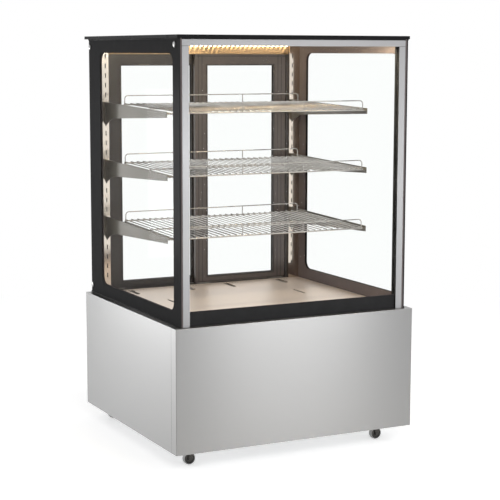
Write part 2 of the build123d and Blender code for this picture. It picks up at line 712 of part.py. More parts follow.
for level, level_name in enumerate(LEVELS):
    level_z = LOWEST_ARM_Z + level * LEVEL_PITCH
    shelf_z = arm_top(level_z - LEDGE_DROP, SHELF_FRONT_Y) + SLIDE_GAP
    shelf_place = Location((0, SHELF_FRONT_Y, shelf_z), (SHELF_TILT, 0, 0))
    shelf_pieces = shelf_rods.part.solids() + shelf_wires.part.solids() + shelf_fences.part.solids()
    shelf = Compound(shelf_pieces).moved(shelf_place)
    shelf.label = "shelf_" + level_name
    export_step(shelf, "parts/shelf_" + level_name + ".step")

# Sliding doors: a frame with a full-height rebate, its glass and two nylon glides
DOORS = (
    ("left", -1, OUTER_DOOR_Y),
    ("right", 1, INNER_DOOR_Y),
)
for side, sign, door_y in DOORS:
    edge_x = sign * DOOR_EDGE
    meeting_x = edge_x - sign * DOOR_WIDTH
    door_faces = (door_y - DOOR_THICK / 2, door_y + DOOR_THICK / 2)
    window_x = (edge_x - sign * DOOR_STILE, meeting_x + sign * DOOR_STILE)
    window_z = (DOOR_BOTTOM + DOOR_BOTTOM_RAIL, DOOR_TOP - DOOR_TOP_RAIL)
    pane_x = (window_x[0] + sign * DOOR_REBATE, window_x[1] - sign * DOOR_REBATE)
    pane_z = (window_z[0] - DOOR_REBATE, window_z[1] + DOOR_REBATE)
    pane_y = (door_y - DOOR_GLASS / 2, door_y + DOOR_GLASS / 2)
    with BuildPart() as door_frame:
        block((meeting_x, edge_x), door_faces, (DOOR_BOTTOM, DOOR_TOP))
        block(window_x, door_faces, window_z, Mode.SUBTRACT)
        block(pane_x, pane_y, pane_z, Mode.SUBTRACT)
        pull_x = edge_x - sign * DOOR_STILE / 2
        pull_z = (window_z[0] + window_z[1]) / 2
        block(
            (pull_x - DOOR_PULL_WIDTH / 2, pull_x + DOOR_PULL_WIDTH / 2),
            (door_faces[1] - DOOR_PULL_DEPTH, door_faces[1]),
            (pull_z - DOOR_PULL_LENGTH / 2, pull_z + DOOR_PULL_LENGTH / 2),
            Mode.SUBTRACT,
        )
    write(door_frame, "door_frame_" + side)
    with BuildPart() as door_glass:
        block(pane_x, pane_y, pane_z)
    write(door_glass, "door_glass_" + side)
    with BuildPart() as door_glides:
        glide_half = DOOR_THICK / 2 + TRACK_MARGIN - GLIDE_SIDE_GAP
        for end_x in (meeting_x + sign * GLIDE_INSET, edge_x - sign * GLIDE_INSET):
            glide_x = (end_x - GLIDE_LENGTH / 2, end_x + GLIDE_LENGTH / 2)
            glide_y = (door_y - glide_half, door_y + glide_half)
            block(glide_x, glide_y, (BASE_TOP + SILL_FLOOR + SLIDE_GAP, DOOR_BOTTOM))
            block(glide_x, glide_y, (DOOR_TOP, DOOR_TOP + GUIDE_HEIGHT))
    write(door_glides, "door_glides_" + side)

# Casters: plate, race and kingpin above, a swivelling fork with its axle, and a wheel
CASTERS = (
    ("front_left", -CASTER_X, FRONT_Y + CASTER_INSET),
    ("front_right", CASTER_X, FRONT_Y + CASTER_INSET),
    ("back_left", -CASTER_X, BACK_Y - CASTER_INSET),
    ("back_right", CASTER_X, BACK_Y - CASTER_INSET),
)
RACE_BOTTOM = FORK_CROWN_TOP + SLIDE_GAP
CROWN_BOTTOM = FORK_CROWN_TOP - FORK_SHEET
with BuildPart() as caster_plates:
    bolt_pitch = CASTER_PLATE - 2 * PLATE_BOLT_INSET
    plate_foot = BASE_BOTTOM - CASTER_PLATE_SHEET
    for place, caster_x, caster_y in CASTERS:
        with BuildSketch(Plane.XY.offset(plate_foot)) as plate_outline:
            with Locations((caster_x, caster_y)):
                Rectangle(CASTER_PLATE, CASTER_PLATE)
        extrude(plate_outline.sketch, amount=CASTER_PLATE_SHEET)
        with BuildSketch(Plane.XY.offset(plate_foot - PLATE_BOLT_HEIGHT)) as bolt_heads:
            with Locations((caster_x, caster_y)):
                with GridLocations(bolt_pitch, bolt_pitch, 2, 2):
                    RegularPolygon(PLATE_BOLT, 6)
        extrude(bolt_heads.sketch, amount=PLATE_BOLT_HEIGHT)
        with BuildSketch(Plane.XY.offset(RACE_BOTTOM)) as race_outline:
            with Locations((caster_x, caster_y)):
                RegularPolygon(RACE_RADIUS, ROUND_SIDES)
        extrude(race_outline.sketch, amount=plate_foot - RACE_BOTTOM)
        with BuildSketch(Plane.XY.offset(CROWN_BOTTOM - SLIDE_GAP)) as pin_outline:
            with Locations((caster_x, caster_y)):
                RegularPolygon(KINGPIN_RADIUS, AXLE_SIDES)
        extrude(pin_outline.sketch, amount=RACE_BOTTOM - CROWN_BOTTOM + SLIDE_GAP)
        with BuildSketch(Plane.XY.offset(CROWN_BOTTOM - SLIDE_GAP - KINGPIN_HEAD_HEIGHT)) as nut_outline:
            with Locations((caster_x, caster_y)):
                RegularPolygon(KINGPIN_HEAD, 6)
        extrude(nut_outline.sketch, amount=KINGPIN_HEAD_HEIGHT)
write(caster_plates, "caster_plates")

for place, caster_x, caster_y in CASTERS:
    axle_x = caster_x - CASTER_TRAIL
    cheek_in = WHEEL_WIDTH / 2 + FORK_GAP
    cheek_out = cheek_in + FORK_SHEET
    with BuildPart() as caster_fork:
        with BuildSketch(Plane.XY.offset(CROWN_BOTTOM)) as crown_outline:
            with Locations((caster_x + (CROWN_FRONT - RACE_RADIUS) / 2, caster_y)):
                Rectangle(CROWN_FRONT + RACE_RADIUS, 2 * cheek_out)
            chamfer(crown_outline.vertices().group_by(Axis.X)[-1], length=CROWN_BEVEL)
            with Locations((caster_x, caster_y)):
                hole_radius = KINGPIN_RADIUS + SHAFT_GAP
                RegularPolygon(hole_radius, AXLE_SIDES, major_radius=False, mode=Mode.SUBTRACT)
        extrude(crown_outline.sketch, amount=FORK_SHEET)
        for cheek_y in (caster_y - cheek_out, caster_y + cheek_in):
            with BuildSketch(Plane.XZ.offset(-cheek_y - FORK_SHEET)) as cheek_outline:
                with BuildLine():
                    Polyline(
                        (caster_x + CROWN_FRONT - CROWN_BEVEL, CROWN_BOTTOM),
                        (axle_x + CHEEK_FOOT, WHEEL_RADIUS),
                        (axle_x + CHEEK_FOOT / 2, WHEEL_RADIUS - CHEEK_FOOT),
                        (axle_x - CHEEK_FOOT / 2, WHEEL_RADIUS - CHEEK_FOOT),
                        (axle_x - CHEEK_FOOT, WHEEL_RADIUS),
                        (caster_x - RACE_RADIUS, CROWN_BOTTOM),
                        close=True,
                    )
                make_face()
            extrude(cheek_outline.sketch, amount=FORK_SHEET)
        axle_place = Plane((axle_x, caster_y - cheek_in, WHEEL_RADIUS), x_dir=(1, 0, 0), z_dir=(0, 1, 0))
        prism(axle_place, AXLE_RADIUS, 2 * cheek_in, sides=AXLE_SIDES)
        for head_y in (caster_y - cheek_out - AXLE_HEAD_HEIGHT, caster_y + cheek_out):
            head_place = Plane((axle_x, head_y, WHEEL_RADIUS), x_dir=(1, 0, 0), z_dir=(0, 1, 0))
            prism(head_place, AXLE_HEAD, AXLE_HEAD_HEIGHT, sides=6)
    write(caster_fork, "caster_fork_" + place)
    with BuildPart() as caster_wheel:
        wheel_side = (axle_x, caster_y - WHEEL_WIDTH / 2, WHEEL_RADIUS)
        wheel_place = Plane(wheel_side, x_dir=(1, 0, 0), z_dir=(0, 1, 0))
        prism(wheel_place, WHEEL_RADIUS, WHEEL_WIDTH, sides=WHEEL_SIDES)
        wheel_ends = caster_wheel.faces().sort_by(Axis.Y)
        chamfer(wheel_ends[0].edges() + wheel_ends[-1].edges(), length=TYRE_BEVEL)
        prism(wheel_place, AXLE_RADIUS + SHAFT_GAP, WHEEL_WIDTH, sides=AXLE_SIDES, mode=Mode.SUBTRACT)
    write(caster_wheel, "caster_wheel_" + place)

# Heated plenum: tub, baffle, fan and a sheathed element in hairpin turns on two stands
with BuildPart() as heater_tub:
    tub_top = BASE_TOP - SKIN
    block((-TUB_HALF_WIDTH, TUB_HALF_WIDTH), (TUB_FRONT, TUB_BACK), (TUB_BOTTOM, tub_top))
    offset(amount=-TUB_SHEET, openings=heater_tub.faces().sort_by(Axis.Z)[-1])
    for sign in (-1, 1):
        block(
            (sign * TUB_HALF_WIDTH, sign * (TUB_HALF_WIDTH + TUB_FLANGE)),
            (TUB_FRONT, TUB_BACK),
            (tub_top - TUB_SHEET, tub_top),
        )
    for pass_index in (0, ELEMENT_PASSES - 1):
        pass_y = ELEMENT_FIRST_Y + pass_index * ELEMENT_PITCH
        wall_place = Plane((TUB_HALF_WIDTH - TUB_SHEET, pass_y, ELEMENT_Z), x_dir=(0, 1, 0), z_dir=(1, 0, 0))
        prism(wall_place, ELEMENT_RADIUS + SLIDE_GAP, TUB_SHEET, mode=Mode.SUBTRACT)
write(heater_tub, "heater_tub")

with BuildPart() as fan_baffle:
    baffle_half = TUB_HALF_WIDTH - TUB_SHEET - SLIDE_GAP
    baffle_z = (TUB_BOTTOM + TUB_SHEET, DECK_TOP - DECK_SHEET - SLIDE_GAP)
    fan_z = (baffle_z[0] + baffle_z[1]) / 2
    block((-baffle_half, baffle_half), (BAFFLE_Y, BAFFLE_Y + TUB_SHEET), baffle_z)
    fan_hole = Plane((0, BAFFLE_Y, fan_z), x_dir=(1, 0, 0), z_dir=(0, 1, 0))
    prism(fan_hole, FAN_BORE, TUB_SHEET, sides=ROUND_SIDES, mode=Mode.SUBTRACT)
write(fan_baffle, "fan_baffle")

FAN_BACK = BAFFLE_Y + TUB_SHEET
with BuildPart() as fan_frame:
    with BuildSketch(Plane.XZ.offset(-FAN_BACK)) as fan_outline:
        with Locations((0, fan_z)):
            Rectangle(FAN_SIZE, FAN_SIZE)
        chamfer(fan_outline.vertices(), length=FAN_CORNER)
        with Locations((0, fan_z)):
            RegularPolygon(FAN_BORE, ROUND_SIDES, major_radius=False, mode=Mode.SUBTRACT)
    extrude(fan_outline.sketch, amount=-FAN_DEPTH)
    with BuildSketch(Plane.XZ.offset(FAN_SPOKE - FAN_BACK - FAN_DEPTH)) as spokes:
        with Locations((0, fan_z)):
            RegularPolygon(FAN_HUB, HUB_SIDES)
            with PolarLocations((FAN_BORE + FAN_HUB) / 2, FAN_SPOKES, start_angle=45):
                Rectangle(FAN_BORE - FAN_HUB + FAN_SPOKE, FAN_SPOKE)
            Circle(FAN_SHAFT + SHAFT_GAP, mode=Mode.SUBTRACT)
    extrude(spokes.sketch, amount=-FAN_SPOKE)
write(fan_frame, "fan_frame")

with BuildPart() as fan_rotor:
    rotor_length = FAN_DEPTH - FAN_SPOKE - 2 * SLIDE_GAP
    rotor_front = -FAN_BACK - SLIDE_GAP
    with BuildSketch(Plane.XZ.offset(rotor_front)) as hub_outline:
        with Locations((0, fan_z)):
            RegularPolygon(FAN_HUB, HUB_SIDES)
    extrude(hub_outline.sketch, amount=-rotor_length)
    with BuildSketch(Plane.XZ.offset(rotor_front)) as shaft_outline:
        with Locations((0, fan_z)):
            Circle(FAN_SHAFT)
    extrude(shaft_outline.sketch, amount=-(FAN_DEPTH - SLIDE_GAP))
    blade_reach = FAN_BORE - FAN_TIP_GAP
    hub_middle = FAN_BACK + SLIDE_GAP + rotor_length / 2
    with Locations(Plane((0, hub_middle, fan_z), x_dir=(1, 0, 0), z_dir=(0, -1, 0))):
        with PolarLocations((blade_reach + FAN_HUB) / 2 - BLADE_ROOT, FAN_BLADES):
            Box(blade_reach - FAN_HUB + BLADE_ROOT, BLADE_CHORD, BLADE_SHEET, rotation=(BLADE_PITCH, 0, 0))
write(fan_rotor, "fan_rotor")

with BuildPart() as heating_element:
    turn = ELEMENT_PITCH / 2
    with BuildLine() as element_path:
        start = (TUB_HALF_WIDTH + ELEMENT_TAIL, ELEMENT_FIRST_Y, ELEMENT_Z)
        for run in range(ELEMENT_PASSES):
            run_y = ELEMENT_FIRST_Y + run * ELEMENT_PITCH
            reach = -ELEMENT_REACH if run % 2 == 0 else ELEMENT_REACH
            end_x = reach if run < ELEMENT_PASSES - 1 else TUB_HALF_WIDTH + ELEMENT_TAIL
            end = (end_x, run_y, ELEMENT_Z)
            Line(start, end)
            if run < ELEMENT_PASSES - 1:
                bulge = end_x + (turn if end_x > 0 else -turn)
                start = (end_x, run_y + ELEMENT_PITCH, ELEMENT_Z)
                ThreePointArc(end, (bulge, run_y + turn, ELEMENT_Z), start)
    with BuildSketch(element_path.line ^ 0) as element_section:
        RegularPolygon(ELEMENT_RADIUS, ELEMENT_SIDES, rotation=180 / ELEMENT_SIDES)
    sweep(element_section.sketch, path=element_path.line)
write(heating_element, "heating_element")

with BuildPart() as element_stands:
    stand_y = ELEMENT_FIRST_Y + (ELEMENT_PASSES - 1) * ELEMENT_PITCH / 2
    stand_half = (ELEMENT_PASSES - 1) * ELEMENT_PITCH / 2 + STAND_MARGIN
    for stand_x in (-STAND_X, STAND_X):
        block(
            (stand_x - STAND_SHEET / 2, stand_x + STAND_SHEET / 2),
            (stand_y - stand_half, stand_y + stand_half),
            (TUB_BOTTOM + TUB_SHEET, ELEMENT_Z),
        )
        for run in range(ELEMENT_PASSES):
            run_y = ELEMENT_FIRST_Y + run * ELEMENT_PITCH
            block(
                (stand_x - STAND_SHEET, stand_x + STAND_SHEET),
                (run_y - ELEMENT_RADIUS - SLIDE_GAP, run_y + ELEMENT_RADIUS + SLIDE_GAP),
                (ELEMENT_Z - ELEMENT_RADIUS - SLIDE_GAP, ELEMENT_Z + ELEMENT_RADIUS),
                Mode.SUBTRACT,
            )
write(element_stands, "element_stands")

# Controls: box, switches, thermostat and inlet on the back panel
with BuildPart() as control_box:
    block(
        (BOX_CENTRE_X - BOX_WIDTH / 2, BOX_CENTRE_X + BOX_WIDTH / 2),
        (PANEL_BACK - BOX_DEPTH, PANEL_BACK),
        (CONTROL_Z - BOX_HEIGHT / 2, CONTROL_Z + BOX_HEIGHT / 2),
    )
    offset(amount=-BOX_SHEET, openings=control_box.faces().sort_by(Axis.Y)[-1])
write(control_box, "control_box")

with BuildPart() as switch_housings:
    for switch_x in (POWER_X, LIGHT_X):
        body_half_x = SWITCH_WIDTH / 2 - SLIDE_GAP
        body_half_z = SWITCH_HEIGHT / 2 - SLIDE_GAP
        block(
            (switch_x - body_half_x, switch_x + body_half_x),
            (BACK_Y - SWITCH_DEPTH, BACK_Y),
            (CONTROL_Z - body_half_z, CONTROL_Z + body_half_z),
        )
        block(
            (switch_x - body_half_x - SWITCH_BEZEL, switch_x + body_half_x + SWITCH_BEZEL),
            (BACK_Y, BACK_Y + BEZEL_HEIGHT),
            (CONTROL_Z - body_half_z - SWITCH_BEZEL, CONTROL_Z + body_half_z + SWITCH_BEZEL),
        )
        block(
            (switch_x - body_half_x + SKIN, switch_x + body_half_x - SKIN),
            (BACK_Y - SWITCH_DEPTH + SKIN, BACK_Y + BEZEL_HEIGHT),
            (CONTROL_Z - body_half_z + SKIN, CONTROL_Z + body_half_z - SKIN),
            Mode.SUBTRACT,
        )
        pin_place = (switch_x - body_half_x, BACK_Y + ROCKER_PIVOT, CONTROL_Z)
        pin_hole = Plane(pin_place, x_dir=(0, 1, 0), z_dir=(1, 0, 0))
        prism(pin_hole, ROCKER_PIN + SHAFT_GAP, 2 * body_half_x, mode=Mode.SUBTRACT)
write(switch_housings, "switch_housings")

for switch_name, switch_x in (("power_switch", POWER_X), ("light_switch", LIGHT_X)):
    with BuildPart() as rocker:
        rocker_half_x = SWITCH_WIDTH / 2 - SKIN - ROCKER_SIDE_GAP
        rocker_half_z = SWITCH_HEIGHT / 2 - SKIN - ROCKER_END_GAP
        pivot = Plane(
            origin=(switch_x, BACK_Y + ROCKER_PIVOT, CONTROL_Z),
            x_dir=(0, cos(radians(ROCK_ANGLE)), -sin(radians(ROCK_ANGLE))),
            z_dir=(1, 0, 0),
        )
        with BuildSketch(pivot.offset(-rocker_half_x)) as rocker_outline:
            with BuildLine():
                Polyline(
                    (-ROCKER_FOOT, -ROCKER_FOOT_HALF),
                    (0, -rocker_half_z),
                    (ROCKER_LIP, -rocker_half_z),
                    (ROCKER_DIP, 0),
                    (ROCKER_LIP, rocker_half_z),
                    (0, rocker_half_z),
                    (-ROCKER_FOOT, ROCKER_FOOT_HALF),
                    close=True,
                )
            make_face()
        extrude(rocker_outline.sketch, amount=2 * rocker_half_x)
        pin_half = SWITCH_WIDTH / 2 - ROCKER_SIDE_GAP
        prism(pivot.offset(-pin_half), ROCKER_PIN, 2 * pin_half)
    write(rocker, switch_name)

SHAFT_FOOT = PANEL_BACK - THERMOSTAT_DEPTH / 2
with BuildPart() as thermostat:
    half_body = THERMOSTAT_BODY / 2
    block(
        (THERMOSTAT_X - half_body, THERMOSTAT_X + half_body),
        (PANEL_BACK - THERMOSTAT_DEPTH, PANEL_BACK),
        (CONTROL_Z - half_body, CONTROL_Z + half_body),
    )
    with Locations(Location((THERMOSTAT_X, PANEL_BACK, CONTROL_Z), (90, 0, 0))):
        Cylinder(KNOB_SHAFT + SHAFT_GAP, THERMOSTAT_DEPTH, mode=Mode.SUBTRACT)
write(thermostat, "thermostat")

with BuildPart() as thermostat_knob:
    knob_face = -BACK_Y - SLIDE_GAP
    with BuildSketch(Plane.XZ.offset(knob_face)) as knob_outline:
        with Locations((THERMOSTAT_X, CONTROL_Z)):
            RegularPolygon(KNOB_RADIUS, KNOB_SIDES)
    extrude(knob_outline.sketch, amount=-KNOB_HEIGHT, taper=KNOB_TAPER)
    with BuildSketch(Plane.XZ.offset(-SHAFT_FOOT - SLIDE_GAP)) as knob_shaft:
        with Locations((THERMOSTAT_X, CONTROL_Z)):
            Circle(KNOB_SHAFT)
    extrude(knob_shaft.sketch, amount=-(BACK_Y + 2 * SLIDE_GAP - SHAFT_FOOT))
    block(
        (THERMOSTAT_X - POINTER_WIDTH / 2, THERMOSTAT_X + POINTER_WIDTH / 2),
        (BACK_Y + KNOB_HEIGHT - POINTER_DEPTH, BACK_Y + KNOB_HEIGHT + SHAFT_HOLE_GAP),
        (CONTROL_Z + POINTER_INSET, CONTROL_Z + KNOB_RADIUS - POINTER_INSET),
        Mode.SUBTRACT,
    )
write(thermostat_knob, "thermostat_knob")

with BuildPart() as mains_inlet:
    block(
        (INLET_X - INLET_WIDTH / 2, INLET_X + INLET_WIDTH / 2),
        (BACK_Y, BACK_Y + INLET_FACE),
        (INLET_Z - INLET_HEIGHT / 2, INLET_Z + INLET_HEIGHT / 2),
    )
    inlet_half_x = INLET_BODY_WIDTH / 2 - SLIDE_GAP
    inlet_half_z = INLET_BODY_HEIGHT / 2 - SLIDE_GAP
    block(
        (INLET_X - inlet_half_x, INLET_X + inlet_half_x),
        (BACK_Y - INLET_DEPTH, BACK_Y),
        (INLET_Z - inlet_half_z, INLET_Z + inlet_half_z),
    )
    block(
        (INLET_X - inlet_half_x + SKIN, INLET_X + inlet_half_x - SKIN),
        (BACK_Y - INLET_WELL, BACK_Y + INLET_FACE),
        (INLET_Z - inlet_half_z + SKIN, INLET_Z + inlet_half_z - SKIN),
        Mode.SUBTRACT,
    )
    for pin_step in (-1, 0, 1):
        pin_x = INLET_X + pin_step * INLET_PIN_GAP
        pin_z = INLET_Z + (1 - 2 * abs(pin_step)) * INLET_PIN_DROP
        block(
            (pin_x - INLET_PIN_WIDTH / 2, pin_x + INLET_PIN_WIDTH / 2),
            (BACK_Y - INLET_WELL, BACK_Y - INLET_PIN_SINK),
            (pin_z - INLET_PIN_HEIGHT / 2, pin_z + INLET_PIN_HEIGHT / 2),
        )
write(mains_inlet, "mains_inlet")
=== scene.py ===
"""Looks of a heated display case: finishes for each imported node, trim, stage, lamps and camera.

Metres. The origin is on the floor under the case's middle, +Z is up and the front faces -Y.
"""

import math

import bmesh
import bpy
from bpy.props import FloatProperty, FloatVectorProperty, IntProperty, PointerProperty
from mathutils import Matrix, Vector


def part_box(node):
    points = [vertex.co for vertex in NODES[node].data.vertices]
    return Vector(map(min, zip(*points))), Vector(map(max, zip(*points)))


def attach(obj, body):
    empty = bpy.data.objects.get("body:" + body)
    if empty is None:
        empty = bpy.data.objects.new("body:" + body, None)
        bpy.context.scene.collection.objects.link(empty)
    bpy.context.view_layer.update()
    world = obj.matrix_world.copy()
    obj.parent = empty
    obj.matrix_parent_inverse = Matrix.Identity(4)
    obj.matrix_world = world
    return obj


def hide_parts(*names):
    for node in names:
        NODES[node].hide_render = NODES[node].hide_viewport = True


bl_info = {
    "name": "Heated Display Case",
    "version": (1, 0, 0),
    "blender": (4, 5, 0),
    "location": "View3D > Sidebar > Display Case",
    "description": "Finishes, trim, stage and camera for a glazed heated display case",
    "category": "Object",
}

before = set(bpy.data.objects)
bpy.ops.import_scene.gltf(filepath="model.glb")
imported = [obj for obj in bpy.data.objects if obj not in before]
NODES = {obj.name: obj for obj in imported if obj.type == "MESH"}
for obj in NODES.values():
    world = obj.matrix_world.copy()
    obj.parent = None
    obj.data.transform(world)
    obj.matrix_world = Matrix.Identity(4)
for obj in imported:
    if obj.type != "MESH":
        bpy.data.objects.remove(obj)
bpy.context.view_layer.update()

SIDES = ("left", "right")
LEVELS = ("bottom", "middle", "top")
CASTERS = ("front_left", "front_right", "back_left", "back_right")

# Angle from which an edge is drawn sharp.
SHARP = math.radians(35)

# Depth of fine relief.
RELIEF = 0.0002

# Brushed metal: the stretch of its grain, its noise scales, and gloss turned a quarter.
GRAIN_STRETCH = 0.004
FINE_GRAIN, STREAKS, SMUDGES = 1800, 160, 5
QUARTER_TURN = 0.25

# Noise scales on moulded and printed surfaces and in glass.
GRAIN, CLOUDS, SPECKS, WAVES = 900, 14, 40, 6

GLASS = {
    "Base Color": (0.985, 0.995, 0.99, 1),
    "Roughness": 0.0,
    "IOR": 1.03,
    "Transmission Weight": 1.0,
}
PRINT_ROUGHNESS = 0.20

# Lower halves of the wheel outlines, as shares of the radius and of half the width.
TYRE = ((0.86, 0.90), (0.90, 1), (0.965, 0.93), (1, 0.62))
HUB = ((0.18, 1), (0.36, 1), (0.40, 0.70), (0.70, 0.62), (0.80, 0.88), (0.86, 0.88))

# Outlines of a glass cap, as shares of its radius and height.
CAP_DISC = ((0, 0.40), (0.80, 0.40), (0.80, 0.66), (0.74, 0.82), (0.60, 0.94), (0.34, 1), (0, 1))
CAP_SEAT = ((0, 0), (1, 0), (1, 0.45), (0.90, 0.50), (0, 0.50))

# Share of a shelf wire's radius that stands over its rods.
WELD = 0.85

# The dial's marks: how many, degrees between them, marks to a number, and a mark's value.
DIAL_MARKS, DIAL_STEP, DIAL_NUMBERED, DIAL_VALUE = 19, 15, 6, 5

# Shares of the knob's radius: the marks' start and lengths, the numbers, and the knob's line.
MARK_START, LONG_MARK, SHORT_MARK, NUMBER_AT = 1.12, 0.28, 0.16, 1.68
LINE_START, LINE_END = 0.25, 0.80

# The camera's sensor in millimetres, the large lamps' target, and the upright strips' size.
SENSOR = 36
CASE_MIDDLE = (0, 0, 0.6)
STRIP = (0.8, 0.9)


def shade(label, text, colour):
    """A colour setting."""
    return FloatVectorProperty(
        name=label, description=text, subtype="COLOR", size=4, min=0, max=1, default=(*colour, 1)
    )


def metres(label, text, value):
    """A length setting."""
    return FloatProperty(
        name=label, description=text, unit="LENGTH", subtype="DISTANCE", min=0, default=value
    )


def degrees(label, text, value):
    """An angle setting, given in degrees."""
    return FloatProperty(name=label, description=text, subtype="ANGLE", default=math.radians(value))


def watts(label, text, value):
    """A power setting."""
    return FloatProperty(name=label, description=text, unit="POWER", default=value)


def amount(label, text, value):
    """A setting without a unit."""
    return FloatProperty(name=label, description=text, min=0, default=value)


def whole(label, text, value, least=1):
    """A count setting."""
    return IntProperty(name=label, description=text, min=least, default=value)


class CaseFinishes(bpy.types.PropertyGroup):
    """Colours of the case's surfaces."""

    body: shade("Body sheet", "Satin sheet of the base", (0.255, 0.255, 0.255))
    trim: shade("Trim", "Satin posts and top rail", (0.255, 0.255, 0.26))
    black: shade("Black coating", "Top plate", (0.012, 0.012, 0.013))
    print_black: shade("Printed border", "Black print seen through the glass", (0.03, 0.03, 0.031))
    print_back: shade("Back of the print", "Matt back of the print", (0.13, 0.109, 0.107))
    # Painted light: the inner steel's warm cream tint stands in for the warm light of the case's
    # lamp strip.
    steel: shade("Inner steel", "Ceiling and uprights", (0.72, 0.64, 0.56))
    # Painted reflection: the header's gold-brown colour stands in for the warm lamp light that its
    # polished steel reflects.
    header: shade("Header", "Polished header, warm in the light", (0.42, 0.29, 0.165))
    # Painted light: the deck's warm beige tint stands in for the warm light of the case's lamp
    # strip.
    deck: shade("Deck steel", "Deck panel and its lips", (0.72, 0.62, 0.55))
    bracket: shade("Bracket steel", "Pressed shelf brackets", (0.115, 0.105, 0.088))
    # The grey is the chrome's own; its slight warm tint is painted light from the lamp strip.
    chrome: shade("Wire chrome", "Wire shelves", (0.52, 0.5, 0.47))
    door: shade("Inner door", "Bronze-grey coating of the inner door", (0.074, 0.06, 0.055))
    # Painted shade: the outer door has the inner door's coating, darkened for the shade it stands
    # in behind the inner door.
    door_outer_painted_shade: shade("Outer door", "Outer door, in the inner one's shade", (0.032, 0.026, 0.023))
    jamb: shade("Jambs", "Dark jambs beside the doors", (0.04, 0.035, 0.033))
    caster: shade("Caster steel", "Dark forks and hubs of the casters", (0.055, 0.053, 0.05))
    tread: shade("Treads", "Grey treads of the casters", (0.42, 0.42, 0.42))
    zinc: shade("Zinc", "Zinc-coated inner sheet", (0.52, 0.53, 0.54))
    rubber: shade("Rubber", "Seals and the cups of the caps", (0.012, 0.012, 0.012))
    glow: shade("Lamp glow", "Warm light of the lamp strip", (1.0, 0.86, 0.62))


class CaseSizes(bpy.types.PropertyGroup):
    """Sizes of the print, the trim and the marks."""

    window_front: metres("Window front", "Clear window behind the pane's front edge", 0.0425)
    window_back: metres("Window back", "Clear window before the pane's rear edge", 0.092)
    window_top: metres("Window top", "Clear window under the pane's top", 0.041)
    window_bottom: metres("Window bottom", "Clear window over the pane's foot", 0.04)
    window_corner: metres("Window corner", "Corner radius of the clear window", 0.025)
    front_band: metres("Front band", "Height of the front pane's black band", 0.041)
    seal_width: metres("Seal width", "Width of the seals behind the front pane", 0.0015)
    seal_depth: metres("Seal depth", "Depth of the seals behind the front pane", 0.004)
    seam: metres("Seam", "Thickness of the seams along the side panes", 0.002)
    seam_height: metres("Seam height", "Height of the seams at the side panes", 0.0035)
    lip_rise: metres("Header lip rise", "Header's folded lip on its face", 0.0012)
    lip_drop: metres("Header lip drop", "Header's folded lip under its foot", 0.0035)
    edge: metres("Edge", "Rounding of seals and lips", 0.0006)
    joint: metres("Joint", "Width of the dark joints", 0.0012)
    wire: metres("Wire", "Diameter of the shelf wires", 0.003)
    rod: metres("Rod", "Diameter of the shelf rods", 0.0045)
    wire_count: whole("Wires", "Wires on a shelf", 31, 2)
    shelf_depth: metres("Shelf depth", "Front to back along the wires", 0.403)
    shelf_tilt: degrees("Shelf tilt", "Slope down to the front", 1.5)
    fence_height: metres("Fence height", "Fence's middle line over the wires", 0.022)
    fence_bend: metres("Fence bend", "Bend radius of the fences' corners", 0.01)
    fence_post: whole("Fence post", "Wires from the middle to a fence post", 5)
    cap_radius: metres("Cap radius", "Radius of the caps on the side panes", 0.009)
    chip: metres("Light chip", "Width of a light chip", 0.005)
    chip_drop: metres("Chip drop", "Depth of the light chips under their board", 0.007)
    chip_pitch: metres("Chip pitch", "Distance between light chips", 0.016)
    tray: metres("Light tray", "Width and height of the rear chips' tray", 0.008)
    slot_in: metres("Inner slots", "Inner deck slots from the middle", 0.071)
    slot_out: metres("Outer slots", "Outer deck slots from the middle", 0.258)
    slot_inset: metres("Slot inset", "Rear slots from the deck's rear edge", 0.0607)
    lip: metres("Lip", "Width and height of the deck's lips", 0.0025)
    lip_length: metres("Lip length", "Length of the deck's lips", 0.07)
    lip_offset: metres("Lip offset", "Lip from the middle of its slot", 0.004)
    hole: metres("Deck hole", "Half width of the deck's rear holes", 0.0018)
    hole_pitch: metres("Deck hole pitch", "Distance between the rear holes", 0.01)
    hole_inset: metres("Deck hole inset", "Row of holes from the deck's rear edge", 0.022)
    hole_count: whole("Deck holes", "Holes in the deck's rear row", 61)
    rebate: metres("Rebate", "Depth of the door panes in their frames", 0.006)
    bead: metres("Bead", "Width of the glazing beads", 0.005)
    bead_proud: metres("Bead rise", "Height of the beads on the door's face", 0.0008)
    groove: metres("Groove", "Width of the grooves along the door frames", 0.0028)
    groove_inset: metres("Groove inset", "Grooves from the door window's edge", 0.026)
    groove_low: metres("Lower groove", "Lower groove under the door window", 0.012)
    tick: metres("Tick", "Half thickness of the dial marks", 0.0004)
    digit_height: metres("Digit height", "Height of the numbers round the knob", 0.0065)
    switch_mark: metres("Switch mark", "Marks above and below the switches", 0.024)
    screw_radius: metres("Screw radius", "Radius of the panel screw heads", 0.0042)
    screw_inset: metres("Screw inset", "Panel screws from the panel's edges", 0.016)


